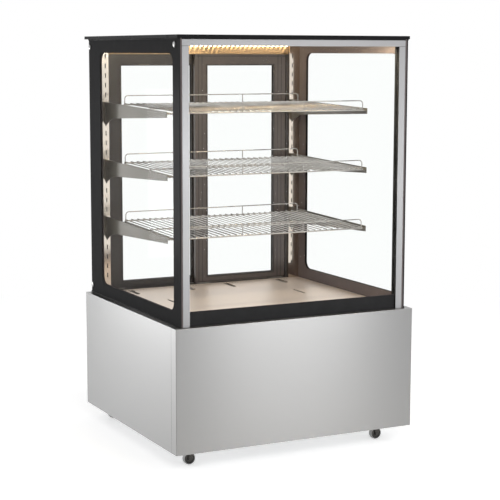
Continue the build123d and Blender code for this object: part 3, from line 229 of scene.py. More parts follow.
class CaseStudio(bpy.types.PropertyGroup):
    """Camera, lamps and stage."""

    lens: FloatProperty(name="Lens", description="Focal length in mm", min=1, default=103.59)
    yaw: degrees("Yaw", "Camera turn to the right", 26.767)
    pitch: degrees("Pitch", "Camera tilt downwards", 7.861)
    roll: degrees("Roll", "Camera roll", 0.118)
    place: FloatVectorProperty(
        name="Place", description="Camera place", unit="LENGTH", subtype="TRANSLATION",
        default=(-1.9257, -3.8709, 1.1456),
    )
    key_power: watts("Key lamp", "Power of the large front lamp", 40)
    fill_power: watts("Fill lamp", "Power of the side lamp", 25)
    front_strip: watts("Front strip", "Power of the right upright strip", 21)
    rear_strip: watts("Rear strip", "Power of the rear upright strip", 25)
    sky: amount("Sky", "Strength of the even light all round", 0.55)
    strip_power: watts("Strip", "Power of the case's own light", 4.0)
    tray_glow: amount("Tray glow", "Brightness of the rear light chips", 110)
    chip_glow: amount("Chip glow", "Brightness of a light chip", 150)
    floor: shade("Floor", "Pale floor", (0.82, 0.82, 0.82))
    floor_lift: amount("Floor lift", "White added where the floor is looked at", 0.5)
    floor_clear: metres("Floor clear", "Floor keeps its shadow up to here", 0.9)
    floor_fade: metres("Floor fade", "Floor is white from here", 2.6)


def feed(tree, node, inputs):
    """Gives a node's inputs their sockets or values."""
    for name, value in inputs.items():
        if isinstance(value, bpy.types.NodeSocket):
            tree.links.new(value, node.inputs[name])
        else:
            node.inputs[name].default_value = value


def add_node(tree, kind, inputs=None, **options):
    """A shader node with its options and inputs."""
    node = tree.nodes.new(kind)
    for name, value in options.items():
        setattr(node, name, value)
    feed(tree, node, inputs or {})
    return node


def math_node(tree, operation, *values):
    """The result of a Math node fed by sockets or numbers."""
    return add_node(tree, "ShaderNodeMath", dict(enumerate(values)), operation=operation).outputs[0]


def length_of(tree, vector):
    """A vector's length."""
    return add_node(tree, "ShaderNodeVectorMath", {0: vector}, operation="LENGTH").outputs["Value"]


def mix_colours(tree, share, first, second):
    """Two colours mixed by a share."""
    inputs = {"Factor": share, "A": first, "B": second}
    return add_node(tree, "ShaderNodeMix", inputs, data_type="RGBA").outputs["Result"]


def mix_shaders(tree, share, first, second):
    """Two shaders mixed by a share."""
    inputs = {0: share, 1: first, 2: second}
    return add_node(tree, "ShaderNodeMixShader", inputs).outputs["Shader"]


def new_material(name, inputs):
    """A material with one Principled shader on its output."""
    material = bpy.data.materials.new(name)
    material.use_nodes = True
    tree = material.node_tree
    tree.nodes.clear()
    shader = add_node(tree, "ShaderNodeBsdfPrincipled", inputs)
    output = add_node(tree, "ShaderNodeOutputMaterial", {"Surface": shader.outputs["BSDF"]})
    return material, tree, shader, output


def object_noise(tree, scale, stretch=(1, 1, 1), detail=3.0):
    """Noise on Object coordinates, stretched along the axes."""
    place = add_node(tree, "ShaderNodeTexCoord").outputs["Object"]
    mapping = add_node(tree, "ShaderNodeMapping", {"Vector": place, "Scale": stretch})
    vector = mapping.outputs["Vector"]
    inputs = {"Vector": vector, "Scale": scale, "Detail": detail, "Roughness": 0.6}
    return add_node(tree, "ShaderNodeTexNoise", inputs).outputs["Fac"]


def spread(tree, value, low, high):
    """Maps noise from its usual 0.3 to 0.7 onto a range."""
    inputs = {"Value": value, "From Min": 0.3, "From Max": 0.7, "To Min": low, "To Max": high}
    return add_node(tree, "ShaderNodeMapRange", inputs).outputs["Result"]


def tint(tree, value, colour, depth):
    """The colour, a little darker and lighter with the value."""
    darker = [channel * (1 - depth) for channel in colour[:3]] + [1]
    lighter = [min(1, channel * (1 + depth)) for channel in colour[:3]] + [1]
    return mix_colours(tree, value, darker, lighter)


def bump(tree, height, shader, strength, distance=RELIEF):
    """Fine relief on a shader."""
    inputs = {"Height": height, "Strength": strength, "Distance": distance}
    feed(tree, shader, {"Normal": add_node(tree, "ShaderNodeBump", inputs).outputs["Normal"]})


def vary_surface(tree, shader, value, colour, depth, rough, vary):
    """Lets a shader's colour and roughness vary with a value."""
    coat = tint(tree, value, colour, depth)
    gloss = spread(tree, value, rough * (1 - vary), rough * (1 + vary))
    feed(tree, shader, {"Base Color": coat, "Roughness": gloss})


def brushed(
    name, colour, rough, metallic=1.0, grain="Z", depth=0.03, relief=0.05, stretch=0.0, vary=0.15
):
    """Sheet or extrusion with a fine grain along one axis, soft streaks and slight smudges."""
    inputs = {"Base Color": colour, "Metallic": metallic, "Roughness": rough}
    inputs["Anisotropic"] = stretch
    if grain == "X":
        inputs["Anisotropic Rotation"] = QUARTER_TURN
    material, tree, shader, _ = new_material(name, inputs)
    along = [GRAIN_STRETCH if axis == grain else 1 for axis in "XYZ"]
    smudges = math_node(tree, "MULTIPLY", object_noise(tree, SMUDGES), 0.5)
    blend = math_node(tree, "MULTIPLY_ADD", object_noise(tree, STREAKS, along), 0.5, smudges)
    vary_surface(tree, shader, blend, colour, depth, rough, vary)
    bump(tree, object_noise(tree, FINE_GRAIN, along), shader, relief)
    return material


def moulded(name, colour, rough, grain_scale=GRAIN, relief=0.12, metallic=0.0, sheen=0.5):
    """Plastic, rubber or coating with a fine even texture and slight colour variation."""
    inputs = {"Base Color": colour, "Metallic": metallic, "Roughness": rough}
    material, tree, shader, _ = new_material(name, {**inputs, "Specular IOR Level": sheen})
    vary_surface(tree, shader, object_noise(tree, CLOUDS), colour, 0.08, rough, 0.15)
    bump(tree, object_noise(tree, grain_scale), shader, relief)
    return material


def lit(name, colour, strength):
    """A glowing surface with a faint grain."""
    inputs = {"Base Color": (0.9, 0.85, 0.7, 1), "Emission Color": colour}
    material, tree, shader, _ = new_material(name, {**inputs, "Emission Strength": strength})
    grain = object_noise(tree, GRAIN)
    feed(tree, shader, {"Roughness": spread(tree, grain, 0.3, 0.5)})
    bump(tree, grain, shader, 0.1)
    return material


def white_light(tree, kind, strength):
    """White light from an Emission or a Background."""
    return add_node(tree, kind, {"Color": (1, 1, 1, 1), "Strength": strength}).outputs[0]


def seen_rays(tree):
    """Rays that look at something: from the camera, off gloss and through glass."""
    rays = add_node(tree, "ShaderNodeLightPath").outputs
    seen = math_node(tree, "MAXIMUM", rays["Is Camera Ray"], rays["Is Glossy Ray"])
    return math_node(tree, "MAXIMUM", seen, rays["Is Transmission Ray"])


def let_lamps_through(tree, shader, output, clear=None):
    """Lamp rays pass through the clear glass."""
    share = add_node(tree, "ShaderNodeLightPath").outputs["Is Shadow Ray"]
    if clear is not None:
        share = math_node(tree, "MULTIPLY", share, clear)
    passed = add_node(tree, "ShaderNodeBsdfTransparent").outputs["BSDF"]
    feed(tree, output, {"Surface": mix_shaders(tree, share, shader.outputs["BSDF"], passed)})


def clear_glass(name):
    """Plain clear glass with faint unevenness."""
    material, tree, shader, output = new_material(name, GLASS)
    bump(tree, object_noise(tree, WAVES, detail=1.0), shader, 0.02, 0.0005)
    let_lamps_through(tree, shader, output)
    return material


def printed_glass(name, black, back, window, axis, middle):
    """Glass with a black print outside a clear window, and the print's matt back on its inner face.

    The window gives (lowest, highest) on Y or None, (lowest, highest) on Z, and the corner radius.
    Along the axis across the pane, its inner face is nearer to the origin than its middle.
    """
    material, tree, shader, output = new_material(name, GLASS)
    place = add_node(tree, "ShaderNodeTexCoord").outputs["Object"]
    parts = add_node(tree, "ShaderNodeSeparateXYZ", {"Vector": place}).outputs
    across, upright, radius = window
    over = {}
    for side, span in (("Y", across), ("Z", upright)):
        if span is not None:
            centre, half = (span[0] + span[1]) / 2, (span[1] - span[0]) / 2
            away = math_node(tree, "ABSOLUTE", math_node(tree, "SUBTRACT", parts[side], centre))
            past = math_node(tree, "SUBTRACT", away, half - radius)
            over[side] = math_node(tree, "MAXIMUM", past, 0.0)
    corner = add_node(tree, "ShaderNodeCombineXYZ", over).outputs["Vector"]
    clear = math_node(tree, "LESS_THAN", length_of(tree, corner), radius)
    inner = math_node(tree, "LESS_THAN", math_node(tree, "ABSOLUTE", parts[axis]), middle)
    speck = object_noise(tree, SPECKS)
    ink = mix_colours(tree, inner, tint(tree, speck, black, 0.15), tint(tree, speck, back, 0.10))
    rough = {"Value": clear, "To Min": PRINT_ROUGHNESS, "To Max": GLASS["Roughness"]}
    surface = {
        "Base Color": mix_colours(tree, clear, ink, GLASS["Base Color"]),
        "Transmission Weight": clear,
        "Roughness": add_node(tree, "ShaderNodeMapRange", rough).outputs["Result"],
    }
    feed(tree, shader, surface)
    let_lamps_through(tree, shader, output, clear)
    return material


def dress(material, *names):
    """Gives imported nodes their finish."""
    for name in names:
        slots = NODES[name].data.materials
        slots.clear()
        slots.append(material)


def add_object(name, data):
    """Puts an object in the scene."""
    made = bpy.data.objects.new(name, data)
    bpy.context.scene.collection.objects.link(made)
    return made


def mesh_object(name, bm, material):
    """Turns a bmesh into an object."""
    mesh = bpy.data.meshes.new(name)
    bm.to_mesh(mesh)
    bm.free()
    mesh.materials.append(material)
    return add_object(name, mesh)


def place_piece(name, bm, material, body="cabinet"):
    """Turns a bmesh into a piece that rides on a body."""
    bmesh.ops.recalc_face_normals(bm, faces=bm.faces)
    piece = mesh_object(name, bm, material)
    piece.data.shade_smooth()
    piece.data.set_sharp_from_angle(angle=SHARP)
    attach(piece, body)
    return piece


def facing(normal, place):
    """A matrix whose +Z points along the normal at a place."""
    return Matrix.Translation(place) @ Vector(normal).to_track_quat("Z", "Y").to_matrix().to_4x4()


def centred_row(count, pitch):
    """Places of a row about zero."""
    return [(index - (count - 1) / 2) * pitch for index in range(count)]


def add_bar(bm, low, high, round_by=0.0):
    """A box between two corners, its edges rounded."""
    low, high = Vector(low), Vector(high)
    size = Matrix.Diagonal(Vector((*(high - low), 1)))
    place = Matrix.Translation((low + high) / 2) @ size
    verts = bmesh.ops.create_cube(bm, size=1, matrix=place)["verts"]
    if round_by:
        edges = list({edge for vert in verts for edge in vert.link_edges})
        bmesh.ops.bevel(
            bm, geom=edges, offset=round_by, segments=2, profile=0.5, affect="EDGES", material=-1,
            clamp_overlap=True,
        )


def add_pair(bm, low, high, round_by=0.0):
    """A box on the right and its mirror image on the left."""
    add_bar(bm, low, high, round_by)
    add_bar(bm, (-high[0], *low[1:]), (-low[0], *high[1:]), round_by)


def add_screw(bm, place, normal, radius):
    """A low round screw head with a socket."""
    height, crown, rim, wall, sunk = radius * 0.5, 0.82, 0.38, 0.02, 0.6
    seat = facing(normal, Vector(place) + Vector(normal) * height / 2)
    verts = bmesh.ops.create_cone(
        bm, cap_ends=True, segments=18, radius1=radius, radius2=radius * crown, depth=height,
        matrix=seat,
    )["verts"]
    faces = {face for vert in verts for face in vert.link_faces}
    top = max(faces, key=lambda face: face.calc_center_median().dot(Vector(normal)))
    bmesh.ops.inset_individual(bm, faces=[top], thickness=radius * rim, depth=0)
    bmesh.ops.inset_individual(bm, faces=[top], thickness=radius * wall, depth=-height * sunk)


def mirrored_outline(shares, radius, half):
    """A closed outline of (radius, height) points from the shares of its lower half."""
    lower = [(radius * reach, -half * height) for reach, height in shares]
    return lower + [(reach, -height) for reach, height in reversed(lower)] + lower[:1]


def add_turned(bm, points, place, axis):
    """A round shape turned from (radius, height) points about an axis through a place."""
    seat = facing(axis, place)
    verts = [bm.verts.new(seat @ Vector((radius, 0, height))) for radius, height in points]
    geom = verts + [bm.edges.new(pair) for pair in zip(verts, verts[1:])]
    bmesh.ops.spin(bm, geom=geom, cent=place, axis=axis, angle=math.tau, steps=40, use_merge=True)
    bmesh.ops.remove_doubles(bm, verts=bm.verts, dist=1e-6)


def draw_bar(bm, start, direction, radius, legs):
    """A round bar drawn from a disc: a leg is a vector, or a (centre, axis, angle) bend."""
    seat = facing(direction, start)
    disc = bmesh.ops.create_circle(bm, cap_ends=True, segments=10, radius=radius, matrix=seat)
    verts = disc["verts"]
    geom = verts + list({e for v in verts for e in v.link_edges})
    geom += list({f for v in verts for f in v.link_faces})
    for leg in legs:
        if isinstance(leg, Vector):
            geom = bmesh.ops.extrude_face_region(bm, geom=geom)["geom"]
            moved = [part for part in geom if isinstance(part, bmesh.types.BMVert)]
            bmesh.ops.translate(bm, verts=moved, vec=leg)
        else:
            centre, axis, angle = leg
            turned = bmesh.ops.spin(bm, geom=geom, cent=centre, axis=axis, angle=angle, steps=6)
            geom = turned["geom_last"]


def add_text(bm, words, size, place, depth):
    """Flat numbers read from behind the case, standing a little proud of the back panel."""
    curve = bpy.data.curves.new("digits", "FONT")
    curve.body = words
    curve.size = size
    curve.extrude = depth
    curve.align_x = "CENTER"
    curve.align_y = "CENTER"
    holder = add_object("digits", curve)
    bpy.context.view_layer.update()
    drawn = holder.evaluated_get(bpy.context.evaluated_depsgraph_get())
    mesh = bpy.data.meshes.new_from_object(drawn)
    turn = Matrix(((-1, 0, 0), (0, 0, 1), (0, 1, 0))).to_4x4()
    mesh.transform(Matrix.Translation(place) @ turn)
    bm.from_mesh(mesh)
    bpy.data.objects.remove(holder)
    bpy.data.curves.remove(curve)
    bpy.data.meshes.remove(mesh)


def settings(context):
    """The case's finishes and sizes."""
    return context.scene.case_finishes, context.scene.case_sizes


class CASE_OT_dress(bpy.types.Operator):
    """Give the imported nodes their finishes"""

    bl_idname = "display_case.dress"
    bl_label = "Dress the case"

    def execute(self, context):
        finish, size = settings(context)
        panels = ["base_%s_panel" % side for side in ("front", "back")]
        panels += ["base_side_panel_" + side for side in SIDES]
        look = {"depth": 0.01, "relief": 0.002, "stretch": 0.85, "vary": 0.03}
        dress(brushed("body_sheet", finish.body, 0.30, 0.85, "X", **look), *panels)
        look = {"depth": 0.01, "relief": 0.005}
        posts = brushed("trim", finish.trim, 0.34, 0.85, "Z", **look)
        dress(posts, "front_post_left", "front_post_right")
        dress(brushed("rail", finish.trim, 0.34, 0.85, "X", **look), "front_top_rail")
        dress(moulded("top_black", finish.black, 0.30, 30, 0.01, sheen=0.03), "top_plate")
        self.dress_glass(finish, size)
        look = {"depth": 0.03, "relief": 0.03, "stretch": 0.9}
        # The inner steel and the deck carry the painted warm light in their colours.
        dress(brushed("inner_steel_x", finish.steel, 0.30, 1.0, "X", **look), "ceiling_panel")
        look = {"depth": 0.02, "relief": 0.004, "vary": 0.05}
        dress(brushed("inner_steel_y", finish.deck, 0.40, 0.50, "Y", **look), "deck_panel")
        upright = brushed("inner_steel_z", finish.steel, 0.12, 1.0, "Z", depth=0.02, relief=0.0)
        dress(upright, "upright_left", "upright_right")
        brackets = ["bracket_%s_%s" % (side, level) for side in SIDES for level in LEVELS]
        dress(brushed("bracket_steel", finish.bracket, 0.50, 0.35, "Y", depth=0.05), *brackets)
        look = {"metallic": 0.10, "depth": 0.18, "relief": 0.10}
        dress(brushed("door_coating", finish.door, 0.50, **look), "door_frame_right")
        # The outer door's frame takes the inner door's coating, darkened as painted shade.
        dress(brushed("outer_door_painted_shade", finish.door_outer_painted_shade, 0.50, **look), "door_frame_left")
        jamb = brushed("jamb_coating", finish.jamb, 0.40, 0.25, "Z", depth=0.15, relief=0.08)
        dress(jamb, "back_jamb_left", "back_jamb_right", "door_sill_track", "door_head_track")
        nylon = moulded("glide_nylon", (0.66, 0.65, 0.60, 1), 0.45)
        dress(nylon, "door_glides_left", "door_glides_right")
        dress(brushed("lamp_shell", finish.trim, 0.40, 0.9, "X"), "lamp_channel")
        dress(moulded("lamp_board", (0.80, 0.78, 0.72, 1), 0.50), "lamp_board")
        zinc = brushed("zinc_sheet", finish.zinc, 0.38, 0.9, "X", depth=0.08)
        dress(zinc, "base_pan", "heater_tub", "fan_baffle", "element_stands", "control_box")
        forks = ["caster_fork_" + place for place in CASTERS]
        dark_steel = moulded("caster_steel", finish.caster, 0.28, 500, 0.10, metallic=0.9)
        dress(dark_steel, "caster_plates", *forks)
        sheath = moulded("element_sheath", (0.10, 0.085, 0.075, 1), 0.50, 300, 0.2, metallic=0.8)
        dress(sheath, "heating_element")
        plastic = moulded("black_moulding", (0.022, 0.022, 0.023, 1), 0.42, relief=0.15)
        dress(plastic, "fan_frame", "fan_rotor", "thermostat_knob", "mains_inlet")
        dress(plastic, "switch_housings")
        rocker = moulded("rocker", (0.020, 0.020, 0.021, 1), 0.25, 400, 0.05)
        dress(rocker, "power_switch", "light_switch")
        dress(moulded("thermostat_shell", (0.55, 0.52, 0.44, 1), 0.50), "thermostat")
        return {"FINISHED"}

    def dress_glass(self, finish, size):
        """Prints the borders of the side and front panes, and leaves the door panes clear."""
        inks = (finish.print_black, finish.print_back)
        low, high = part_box("side_glass_left")
        across = (low.y + size.window_front, high.y - size.window_back)
        upright = (low.z + size.window_bottom, high.z - size.window_top)
        window = (across, upright, size.window_corner)
        side_pane = printed_glass("side_pane", *inks, window, "X", (abs(low.x) + abs(high.x)) / 2)
        dress(side_pane, "side_glass_left", "side_glass_right")
        low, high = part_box("front_glass")
        window = (None, (low.z + size.front_band, high.z + size.front_band), size.front_band / 10)
        front_pane = printed_glass("front_pane", *inks, window, "Y", (abs(low.y) + abs(high.y)) / 2)
        dress(front_pane, "front_glass")
        dress(clear_glass("door_pane"), "door_glass_left", "door_glass_right")


class CASE_OT_shelves(bpy.types.Operator):
    """Draw the wire shelves with round wires"""

    bl_idname = "display_case.shelves"
    bl_label = "Wire shelves"

    def execute(self, context):
        finish, size = settings(context)
        chrome = moulded("wire_chrome", finish.chrome, 0.16, 200, 0.03, metallic=1.0)
        tilt = size.shelf_tilt
        for level in LEVELS:
            low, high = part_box("shelf_" + level)
            bm = self.draw_shelf(size, high.x)
            foot = Matrix.Translation((0, high.y - size.shelf_depth * math.cos(tilt), low.z))
            bmesh.ops.transform(bm, matrix=foot @ Matrix.Rotation(tilt, 4, "X"), verts=bm.verts)
            piece = place_piece("wire_shelf_" + level, bm, chrome)
            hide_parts("shelf_" + level)
        return {"FINISHED"}

    def draw_shelf(self, size, half):
        """A level shelf that starts at the origin: rods, wires on them, a fence at each end."""
        wire, rod, bend, depth = size.wire / 2, size.rod / 2, size.fence_bend, size.shelf_depth
        bm = bmesh.new()
        for rod_y in (rod, depth / 2, depth - rod):
            draw_bar(bm, (-half, rod_y, rod), (1, 0, 0), rod, [Vector((2 * half, 0, 0))])
        pitch = 2 * (half - size.wire) / (size.wire_count - 1)
        wire_z = size.rod + wire * WELD
        for index in range(size.wire_count):
            wire_x = size.wire - half + index * pitch
            draw_bar(bm, (wire_x, 0, wire_z), (0, 1, 0), wire, [Vector((0, depth, 0))])
        top = size.rod + size.wire + size.fence_height
        leg_x = half - size.wire
        for fence_y in (wire, depth - wire):
            legs = [
                Vector((0, 0, top - bend - wire_z)),
                ((bend - leg_x, fence_y, top - bend), (0, 1, 0), math.pi / 2),
                Vector((2 * (leg_x - bend), 0, 0)),
                ((leg_x - bend, fence_y, top - bend), (0, 1, 0), math.pi / 2),
                Vector((0, 0, wire_z - top + bend)),
            ]
            draw_bar(bm, (-leg_x, fence_y, wire_z), (0, 0, 1), wire, legs)
            for post_x in (-size.fence_post * pitch, size.fence_post * pitch):
                rise = [Vector((0, 0, top - wire_z))]
                draw_bar(bm, (post_x, fence_y, wire_z), (0, 0, 1), wire, rise)
        return bm


class CASE_OT_casters(bpy.types.Operator):
    """Turn the tyres and hubs of the casters"""

    bl_idname = "display_case.casters"
    bl_label = "Caster wheels"

    def execute(self, context):
        finish = context.scene.case_finishes
        rubber = moulded("tyre_rubber", finish.tread, 0.50, 700, 0.2)
        grey = moulded("hub_steel", finish.caster, 0.30, 500, 0.10, metallic=0.9)
        for place in CASTERS:
            low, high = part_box("caster_wheel_" + place)
            radius, half = (high.z - low.z) / 2, (high.y - low.y) / 2
            for name, shares, material, slot in (
                ("tyre_", TYRE, rubber, "caster_tread"),
                ("hub_", HUB, grey, "caster_zinc"),
            ):
                bm = bmesh.new()
                add_turned(bm, mirrored_outline(shares, radius, half), (low + high) / 2, (0, 1, 0))
                piece = place_piece(name + place, bm, material, "wheel_" + place)
                if shares is TYRE:
                    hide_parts("caster_wheel_" + place)
        return {"FINISHED"}


class CASE_OT_caps(bpy.types.Operator):
    """Turn the caps that fix the side panes"""

    bl_idname = "display_case.caps"
    bl_label = "Glass caps"

    def execute(self, context):
        finish, size = settings(context)
        metal = moulded("cap_metal", (0.40, 0.40, 0.40, 1), 0.30, 300, 0.04, metallic=1.0)
        black = moulded("cap_seat", finish.rubber, 0.5, 700, 0.1)
        radius = size.cap_radius
        glass_low, glass_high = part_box("side_glass_right")
        cap_low, cap_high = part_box("glass_caps")
        height = cap_high.x - glass_high.x
        back_y = cap_high.y - radius
        places = (
            (back_y, cap_low.z + radius),
            (back_y, glass_high.z - (cap_low.z + radius - glass_low.z)),
            (cap_low.y + radius, cap_high.z - radius),
        )
        for name, shares, material, slot in (
            ("cap_seats", CAP_SEAT, black, "caster_tread"),
            ("cap_discs", CAP_DISC, metal, "cap_metal"),
        ):
            points = [(radius * reach, height * rise) for reach, rise in shares]
            bm = bmesh.new()
            for side in (-1, 1):
                for cap_y, cap_z in places:
                    add_turned(bm, points, (side * glass_high.x, cap_y, cap_z), (side, 0, 0))
            piece = place_piece(name, bm, material)
        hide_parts("glass_caps")
        return {"FINISHED"}


class CASE_OT_seals(bpy.types.Operator):
    """Lay the seals and seams round the glass, and the dark joints in the sheet"""

    bl_idname = "display_case.seals"
    bl_label = "Seals and seams"

    def execute(self, context):
        finish, size = settings(context)
        pane_high, deck_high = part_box("front_glass")[1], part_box("deck_panel")[1]
        side_low, side_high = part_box("side_glass_right")
        panel_low, panel_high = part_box("base_side_panel_right")
        rail_low, rail_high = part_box("front_top_rail")
        post_low, post_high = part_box("front_post_right")
        bm = bmesh.new()
        low = (pane_high.x - size.seal_width, pane_high.y, deck_high.z)
        add_pair(bm, low, (pane_high.x, pane_high.y + size.seal_depth, pane_high.z), size.edge)
        for seam_z in (side_low.z, side_high.z - size.seam_height):
            low = (side_high.x - size.seam / 4, side_low.y, seam_z)
            high = (side_high.x + size.seam, side_high.y, seam_z + size.seam_height)
            add_pair(bm, low, high, size.edge / 2)
        overlap = size.seam / 20
        low = (pane_high.x + overlap, post_low.y + size.seam / 2, post_low.z)
        add_pair(bm, low, (post_low.x + overlap, post_high.y, post_high.z))
        low = (-post_high.x, rail_low.y - size.seam, rail_high.z - size.seam_height)
        add_bar(bm, low, (post_high.x, rail_low.y + size.seam, rail_high.z), size.edge / 2)
        rubber = moulded("seal_rubber", finish.rubber, 0.60, relief=0.1, sheen=0.1)
        place_piece("glass_seals", bm, rubber)
        line, proud = size.joint / 2, size.joint / 40
        bm = bmesh.new()
        low = (panel_high.x - size.joint, panel_low.y - line, panel_low.z + line)
        high = (panel_high.x + proud, panel_low.y + line, panel_high.z - line)
        add_pair(bm, low, high, proud / 2)
        low = (post_low.x, rail_low.y - proud, rail_low.z - line)
        add_pair(bm, low, (post_high.x, rail_low.y + size.joint, rail_low.z + line), proud / 2)
        dark = moulded("joint_shadow", (0.06, 0.06, 0.06, 1), 0.6, relief=0.1)
        place_piece("sheet_joints", bm, dark)
        return {"FINISHED"}


class CASE_OT_lamp(bpy.types.Operator):
    """Set the light chips on the lamp board, and a tray of them before the header"""

    bl_idname = "display_case.lamp"
    bl_label = "Light chips"

    def execute(self, context):
        finish, size = settings(context)
        studio, glow = context.scene.case_studio, finish.glow
        low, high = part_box("lamp_board")
        count = int((high.x - low.x) / size.chip_pitch)
        bm = self.chip_row(size, count, (low.y + high.y) / 2, low.z, size.chip_drop)
        chip = lit("light_chip", glow, studio.chip_glow)
        place_piece("light_chips", bm, chip)
        header_y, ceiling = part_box("door_head_track")[0].y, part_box("ceiling_panel")[0].z
        count = int(2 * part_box("upright_right")[0].x / size.chip_pitch)
        reach, foot = count * size.chip_pitch / 2, ceiling - size.tray
        bm = bmesh.new()
        low = (-reach, header_y - size.tray, foot)
        add_bar(bm, low, (reach, header_y, ceiling), size.tray / 16)
        shell = moulded("light_tray", (0.80, 0.78, 0.72, 1), 0.50)
        place_piece("light_tray", bm, shell)
        bm = self.chip_row(size, count, header_y - size.tray / 2, foot, size.chip / 2)
        chip = lit("tray_chip", glow, studio.tray_glow)
        place_piece("tray_chips", bm, chip)
        return {"FINISHED"}

    def chip_row(self, size, count, middle_y, top, drop):
        """A row of chips that hang from a height."""
        half = size.chip / 2
        rounding = half * 0.15
        bm = bmesh.new()
        for chip_x in centred_row(count, size.chip_pitch):
            low = (chip_x - half, middle_y - half, top - drop)
            add_bar(bm, low, (chip_x + half, middle_y + half, top), rounding)
        return bm


class CASE_OT_header(bpy.types.Operator):
    """Lay the polished face and its folded lip on the header over the doors"""

    bl_idname = "display_case.header"
    bl_label = "Header face"

    def execute(self, context):
        finish, size = settings(context)
        look = {"relief": 0.0, "stretch": 1.0, "vary": 0.03}
        # The header's colour carries a painted warm reflection of the lamp light.
        steel = brushed("header_painted_warm_reflection", finish.header, 0.36, 1.0, "X", **look)
        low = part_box("door_head_track")[0]
        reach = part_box("upright_right")[0].x - size.joint
        bm = bmesh.new()
        # The face sits off the middle of the piece's depth, where stretched gloss has no direction.
        face = (-reach, low.y - size.joint / 4, low.z)
        add_bar(bm, face, (reach, low.y + size.joint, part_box("ceiling_panel")[0].z))
        foot = (-reach, low.y - size.lip_rise, low.z - size.lip_drop)
        add_bar(bm, foot, (reach, low.y + size.lip_rise / 2, low.z + size.joint), size.lip_rise / 4)
        place_piece("header_face", bm, steel)
        return {"FINISHED"}


class CASE_OT_deck(bpy.types.Operator):
    """Raise the lips beside the deck's rear slots, and lay dark patches as painted shade in its
    rear row of holes
    """

    bl_idname = "display_case.deck"
    bl_label = "Deck lips"

    def execute(self, context):
        finish, size = settings(context)
        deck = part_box("deck_panel")[1]
        half, middle_y = size.lip_length / 2, deck.y - size.slot_inset
        bm = bmesh.new()
        for slot_x in (-size.slot_out, -size.slot_in, size.slot_in, size.slot_out):
            edge = slot_x + size.lip_offset
            high = (edge + size.lip, middle_y + half, deck.z + size.lip)
            add_bar(bm, (edge, middle_y - half, deck.z), high, size.edge)
        # The lips take the deck's colour, with its painted warm light.
        steel = brushed("lip_steel", finish.deck, 0.18, 1.0, "Y")
        place_piece("deck_lips", bm, steel)
        # Painted shade: dark patches stand in for the holes, where the space under the deck lies in
        # shade.
        sunk, proud = 0.001, 0.0002
        row_y = deck.y - size.hole_inset
        bm = bmesh.new()
        for hole_x in centred_row(size.hole_count, size.hole_pitch):
            low = (hole_x - size.hole, row_y - size.hole, deck.z - sunk)
            add_bar(bm, low, (hole_x + size.hole, row_y + size.hole, deck.z + proud))
        dark = moulded("deck_holes_painted_shade", finish.jamb, 0.6, relief=0.1)
        place_piece("deck_holes_painted_shade", bm, dark)
        return {"FINISHED"}


class CASE_OT_doors(bpy.types.Operator):
    """Fit the glazing beads and grooves of the sliding doors"""

    bl_idname = "display_case.doors"
    bl_label = "Door beads"

    def execute(self, context):
        finish, size = settings(context)
        coating = moulded("bead_coating", finish.jamb, 0.35, 600, 0.1, metallic=0.3)
        inset, w, sunk = Vector((size.rebate, 0, size.rebate)), size.bead, 0.002
        for side in SIDES:
            frame_low, frame_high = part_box("door_frame_" + side)
            glass_low, glass_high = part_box("door_glass_" + side)
            low, high = glass_low + inset, glass_high - inset
            beads = (
                (low.x, low.x + w, low.z, high.z),
                (high.x - w, high.x, low.z, high.z),
                (low.x + w, high.x - w, low.z, low.z + w),
                (low.x + w, high.x - w, high.z - w, high.z),
            )
            grooves = [
                (edge - size.groove, edge, frame_low.z, frame_high.z)
                for away in (size.groove_inset, size.groove_inset / 2)
                for edge in (low.x - away, high.x + away)
            ] + [
                (frame_low.x, frame_high.x, edge - size.groove, edge)
                for edge in (low.z - size.groove_low, high.z + size.groove_inset)
            ]
            bm = bmesh.new()
            for face, outward in ((frame_low.y, -1), (frame_high.y, 1)):
                for strips, proud, round_by in (
                    (beads, size.bead_proud, size.bead_proud / 2),
                    (grooves, size.bead_proud / 4, 0.0),
                ):
                    ends = sorted((face - outward * sunk, face + outward * proud))
                    for x0, x1, z0, z1 in strips:
                        add_bar(bm, (x0, ends[0], z0), (x1, ends[1], z1), round_by)
            place_piece("door_beads_" + side, bm, coating, "door_" + side)
        return {"FINISHED"}


